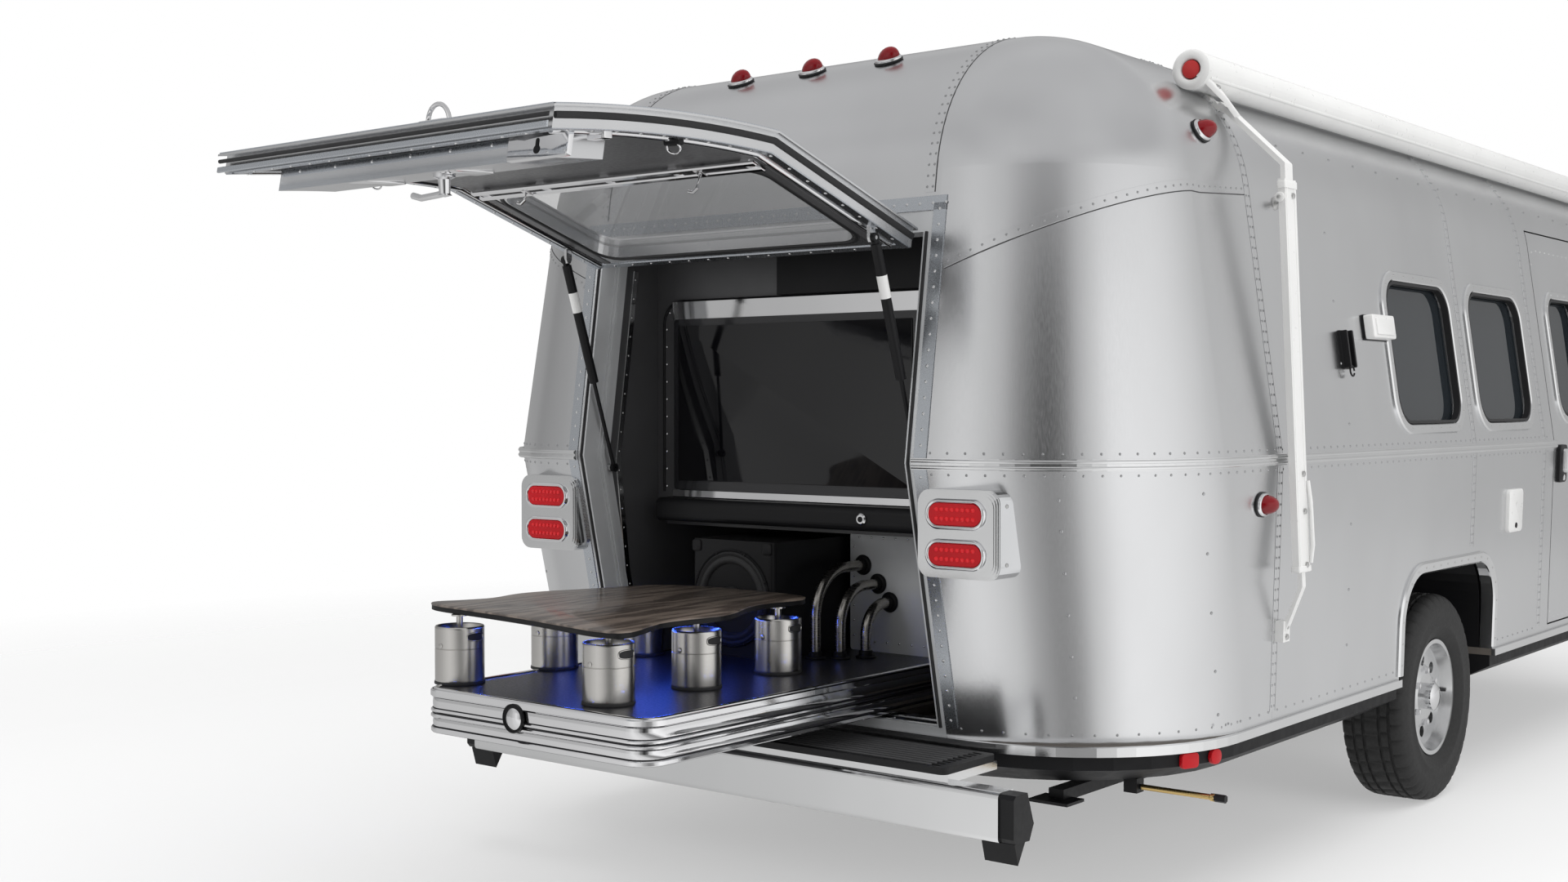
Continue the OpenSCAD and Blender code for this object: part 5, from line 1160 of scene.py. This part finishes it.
discs.make("awning_discs", DISC, "trailer", "red_lens", 60)
roll_trim.make("awning_trim", WHITE, "trailer", "awning_white", 50)
arm_bolts.make("awning_bolts", ZINC, "trailer", "zinc", 60)

# Drawbar: beads and latches of the bottle cover, the jack's crank and cap, and the coupler's lever
COVER, JACK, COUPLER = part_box("gas_bottle_cover"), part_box("jack_tube"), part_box("coupler")
COVER_R = 0.15
COVER_BEADS = ((0.022, 36), (0.372, 20))
cover_trim, draw_black, draw_zinc = shapes(3)
cover_mid = Vector(((COVER[0].x + COVER[1].x) / 2, (COVER[0].y + COVER[1].y) / 2, COVER[0].z))
half_x, half_y = (COVER[1].x - COVER[0].x) / 2, (COVER[1].y - COVER[0].y) / 2
core_x, core_y = half_x - COVER_R, half_y - COVER_R
for z, width in COVER_BEADS:
    ring = []
    for x, y in round_rect(-half_x, -half_y, half_x, half_y, COVER_R, 10):
        facing = Vector((x - max(-core_x, min(core_x, x)), y - max(-core_y, min(core_y, y)), 0)).normalized()
        ring.append((cover_mid + Vector((x, y, z)), facing))
    cover_trim.sweep(ring, bead(width, 6), True)
for side in SIDES:
    clasp = facing_at(Vector((side * half_x, cover_mid.y, COVER[0].z + 0.2)), side * SIDEWAYS)
    cover_trim.plate(40, 100, 8, 8, clasp, 3)
    draw_black.plate(20, 60, 6, 16, clasp, 3)
cover_trim.make("cover_trim", BRIGHT, "trailer", "bright_trim")
crank = Matrix.Translation((0, JACK[1].y, JACK[1].z - 0.06))
draw_zinc.rod(crank, ((0, -0.004, 0), (0, 0.01, 0), (0.02, 0.014, 0), (0.13, 0.014, 0)), 0.008)
draw_black.lathe(mm(11, 0, 13, 10, 13, 75, 9, 82, 1, 83),
                 facing_at(beside(crank, 0.13, 0.008).translation, -REARWARD), 16)
jack_cap = Matrix.Translation((0, (JACK[0].y + JACK[1].y) / 2 - 0.045, JACK[1].z - 0.001))
draw_black.plate(82, 102, 20, 6, jack_cap, 3)
coupler_end = Matrix.Translation((0, COUPLER[0].y, COUPLER[1].z))
draw_zinc.rod(coupler_end, ((0.014, 0.12, -0.02), (0.014, 0.17, 0.012), (0.01, 0.23, 0.02)), 0.006)
draw_black.make("drawbar_fittings", SATIN_BLACK, "trailer", "black_steel")
draw_zinc.make("crank_and_latch", ZINC, "trailer", "zinc")


# Studio: a pale floor that fades out, soft lamps, and a tent that only metal and glass reflect

def stage_mesh(name, verts, faces, mat):
    mesh = bpy.data.meshes.new(name)
    mesh.from_pydata(verts, [], faces)
    obj = linked(name, mesh, mat)
    return obj


ROUND = 96
DISC_FACE = [tuple(range(ROUND))]
WALL_FACES = [(k, (k + 1) % ROUND, ROUND + (k + 1) % ROUND, ROUND + k) for k in range(ROUND)]


def circle(radius, z):
    return [Vector((radius * cos(t), radius * sin(t), z)) for t in turns(ROUND)]


FLOOR_R, FLOOR_LONG, FLOOR_CLEAR, FLOOR_COVER = 8.0, 11.0, 0.5, 0.62
floor_mat, floor_tree, floor_shader = new_material("floor_white", (0.93, 0.93, 0.93), 0.0, 0.85)
fade = floor_tree.nodes.new("ShaderNodeTexGradient")
fade.gradient_type = "SPHERICAL"
floor_tree.links.new(coordinates(floor_tree, (1 / FLOOR_R, 1 / FLOOR_LONG, 1)), fade.inputs["Vector"])
spread(floor_tree, fade.outputs["Fac"], 0.0, FLOOR_COVER, floor_shader.inputs["Alpha"], (0.02, FLOOR_CLEAR))
studio_floor = stage_mesh("studio_floor", circle(FLOOR_LONG, 0), DISC_FACE, floor_mat)
studio_floor.location = at(0, 1.5, 0)

# The tent's brightness by direction: degrees from straight behind, towards the kerb, and grey level
TENT = ((-90, 0.28), (-66, 0.36), (-46, 0.44), (-30, 0.6), (-10, 0.78), (8, 0.6), (24, 0.2), (35, 0.035), (46, 0.11),
        (58, 0.62), (76, 1.0), (98, 0.98), (114, 0.6), (130, 0.24), (141, 0.2), (152, 0.29), (172, 0.36), (225, 0.18))
TENT_R, TENT_H, TENT_FLOOR = 12.0, 8.0, 0.003
TENT_TOP, TENT_FADE = (0.54, 0.54, 0.545), (5.6, 8.0)
TOP_DARK, TOP_PALE = (0.46, 0.46, 0.465), (0.62, 0.62, 0.625)


def tent_material(name):
    mat = bpy.data.materials.new(name)
    mat.use_nodes = True
    tree = mat.node_tree
    tree.nodes.clear()
    glow = tree.nodes.new("ShaderNodeEmission")
    surface = tree.nodes.new("ShaderNodeOutputMaterial")
    tree.links.new(glow.outputs["Emission"], surface.inputs["Surface"])
    return mat, tree, glow


def tent_bands(name, lift):
    """Bands of grey by direction, never darker than the lift, that fade towards the tent's top."""
    mat, tree, glow = tent_material(name)
    turn = tree.nodes.new("ShaderNodeTexGradient")
    turn.gradient_type = "RADIAL"
    tree.links.new(coordinates(tree), turn.inputs["Vector"])
    ramp = tree.nodes.new("ShaderNodeValToRGB")
    ramp.color_ramp.interpolation = "EASE"
    stops = ramp.color_ramp.elements
    for k, (angle, grey) in enumerate(TENT):
        stop = stops[k] if k < 2 else stops.new(0.5)
        stop.position = angle / 360 + 0.25
        shade = lift + (1 - lift) * grey
        stop.color = (shade, shade, shade, 1)
    tree.links.new(turn.outputs["Fac"], ramp.inputs["Fac"])
    height = tree.nodes.new("ShaderNodeSeparateXYZ")
    tree.links.new(coordinates(tree), height.inputs["Vector"])
    blend = tree.nodes.new("ShaderNodeMix")
    blend.data_type = "RGBA"
    blend.inputs["B"].default_value = (*TENT_TOP, 1)
    tree.links.new(ramp.outputs["Color"], blend.inputs["A"])
    spread(tree, height.outputs["Z"], 0.0, 1.0, blend.inputs["Factor"], TENT_FADE)
    tree.links.new(blend.outputs["Result"], glow.inputs["Color"])
    return mat


low, high = circle(TENT_R, 0), circle(TENT_R, TENT_H)
tent_wall = stage_mesh("tent_wall", low + high, WALL_FACES, tent_bands("tent_wall", 0.0))
tent_floor = stage_mesh("tent_floor", circle(TENT_R, TENT_FLOOR), DISC_FACE, tent_bands("tent_floor", 0.22))
top_mat, top_tree, top_glow = tent_material("tent_top")
tint(top_tree, noise(top_tree, 0.12), TOP_DARK, TOP_PALE, top_glow.inputs["Color"])
tent_top = stage_mesh("tent_top", high, DISC_FACE, top_mat)
for cloth in (tent_wall, tent_floor, tent_top):
    cloth.location = at(0.9, 0.4, 0)
    cloth.visible_camera = False
    cloth.visible_diffuse = False
    cloth.visible_shadow = False
    cloth.visible_transmission = False


def soft_lamp(name, place, target, size, power):
    light = bpy.data.lights.new(name, "AREA")
    light.shape = "RECTANGLE"
    light.size, light.size_y = size
    light.energy = power
    lamp = linked(name, light)
    lamp.location = place
    lamp.rotation_euler = (Vector(target) - Vector(place)).to_track_quat("-Z", "Y").to_euler()
    lamp.visible_glossy = False


soft_lamp("lamp_overhead", (1.0, -1.0, 7.0), (0.3, -1.0, 0), (7, 9), 330)
soft_lamp("lamp_left", (-4.5, -9.5, 3.2), (0, -3, 1.2), (4, 4), 160)
soft_lamp("lamp_right", (8.0, -2.5, 3.0), (1, -2.0, 1.2), (4.5, 4), 160)

# The world is white to the camera, in metal and through glass, and lights the trailer more softly
WORLD_LIGHT = 0.62
world = bpy.data.worlds.new("studio")
bpy.context.scene.world = world
world.use_nodes = True
tree = world.node_tree
sky = set_sockets(tree.nodes["Background"], Color=(1, 1, 1, 1))
rays = tree.nodes.new("ShaderNodeLightPath").outputs
seen = rays["Is Camera Ray"]
for kind in ("Is Glossy Ray", "Is Transmission Ray"):
    either = tree.nodes.new("ShaderNodeMath")
    either.operation = "MAXIMUM"
    tree.links.new(seen, either.inputs[0])
    tree.links.new(rays[kind], either.inputs[1])
    seen = either.outputs[0]
spread(tree, seen, WORLD_LIGHT, 1.0, sky.inputs["Strength"], (0.0, 1.0))
bpy.context.scene.view_settings.view_transform = "Standard"

# Camera at the photo's place
camera = bpy.data.cameras.new("camera")
camera.lens = 41.05
camera.sensor_width = 36
camera.clip_end = 300
shooter = linked("camera", camera)
shooter.location = at(3.3, -3.8387, 1.3743)
shooter.rotation_euler = (radians(90 - 1.17), 0, radians(39.03))
bpy.context.scene.camera = shooter
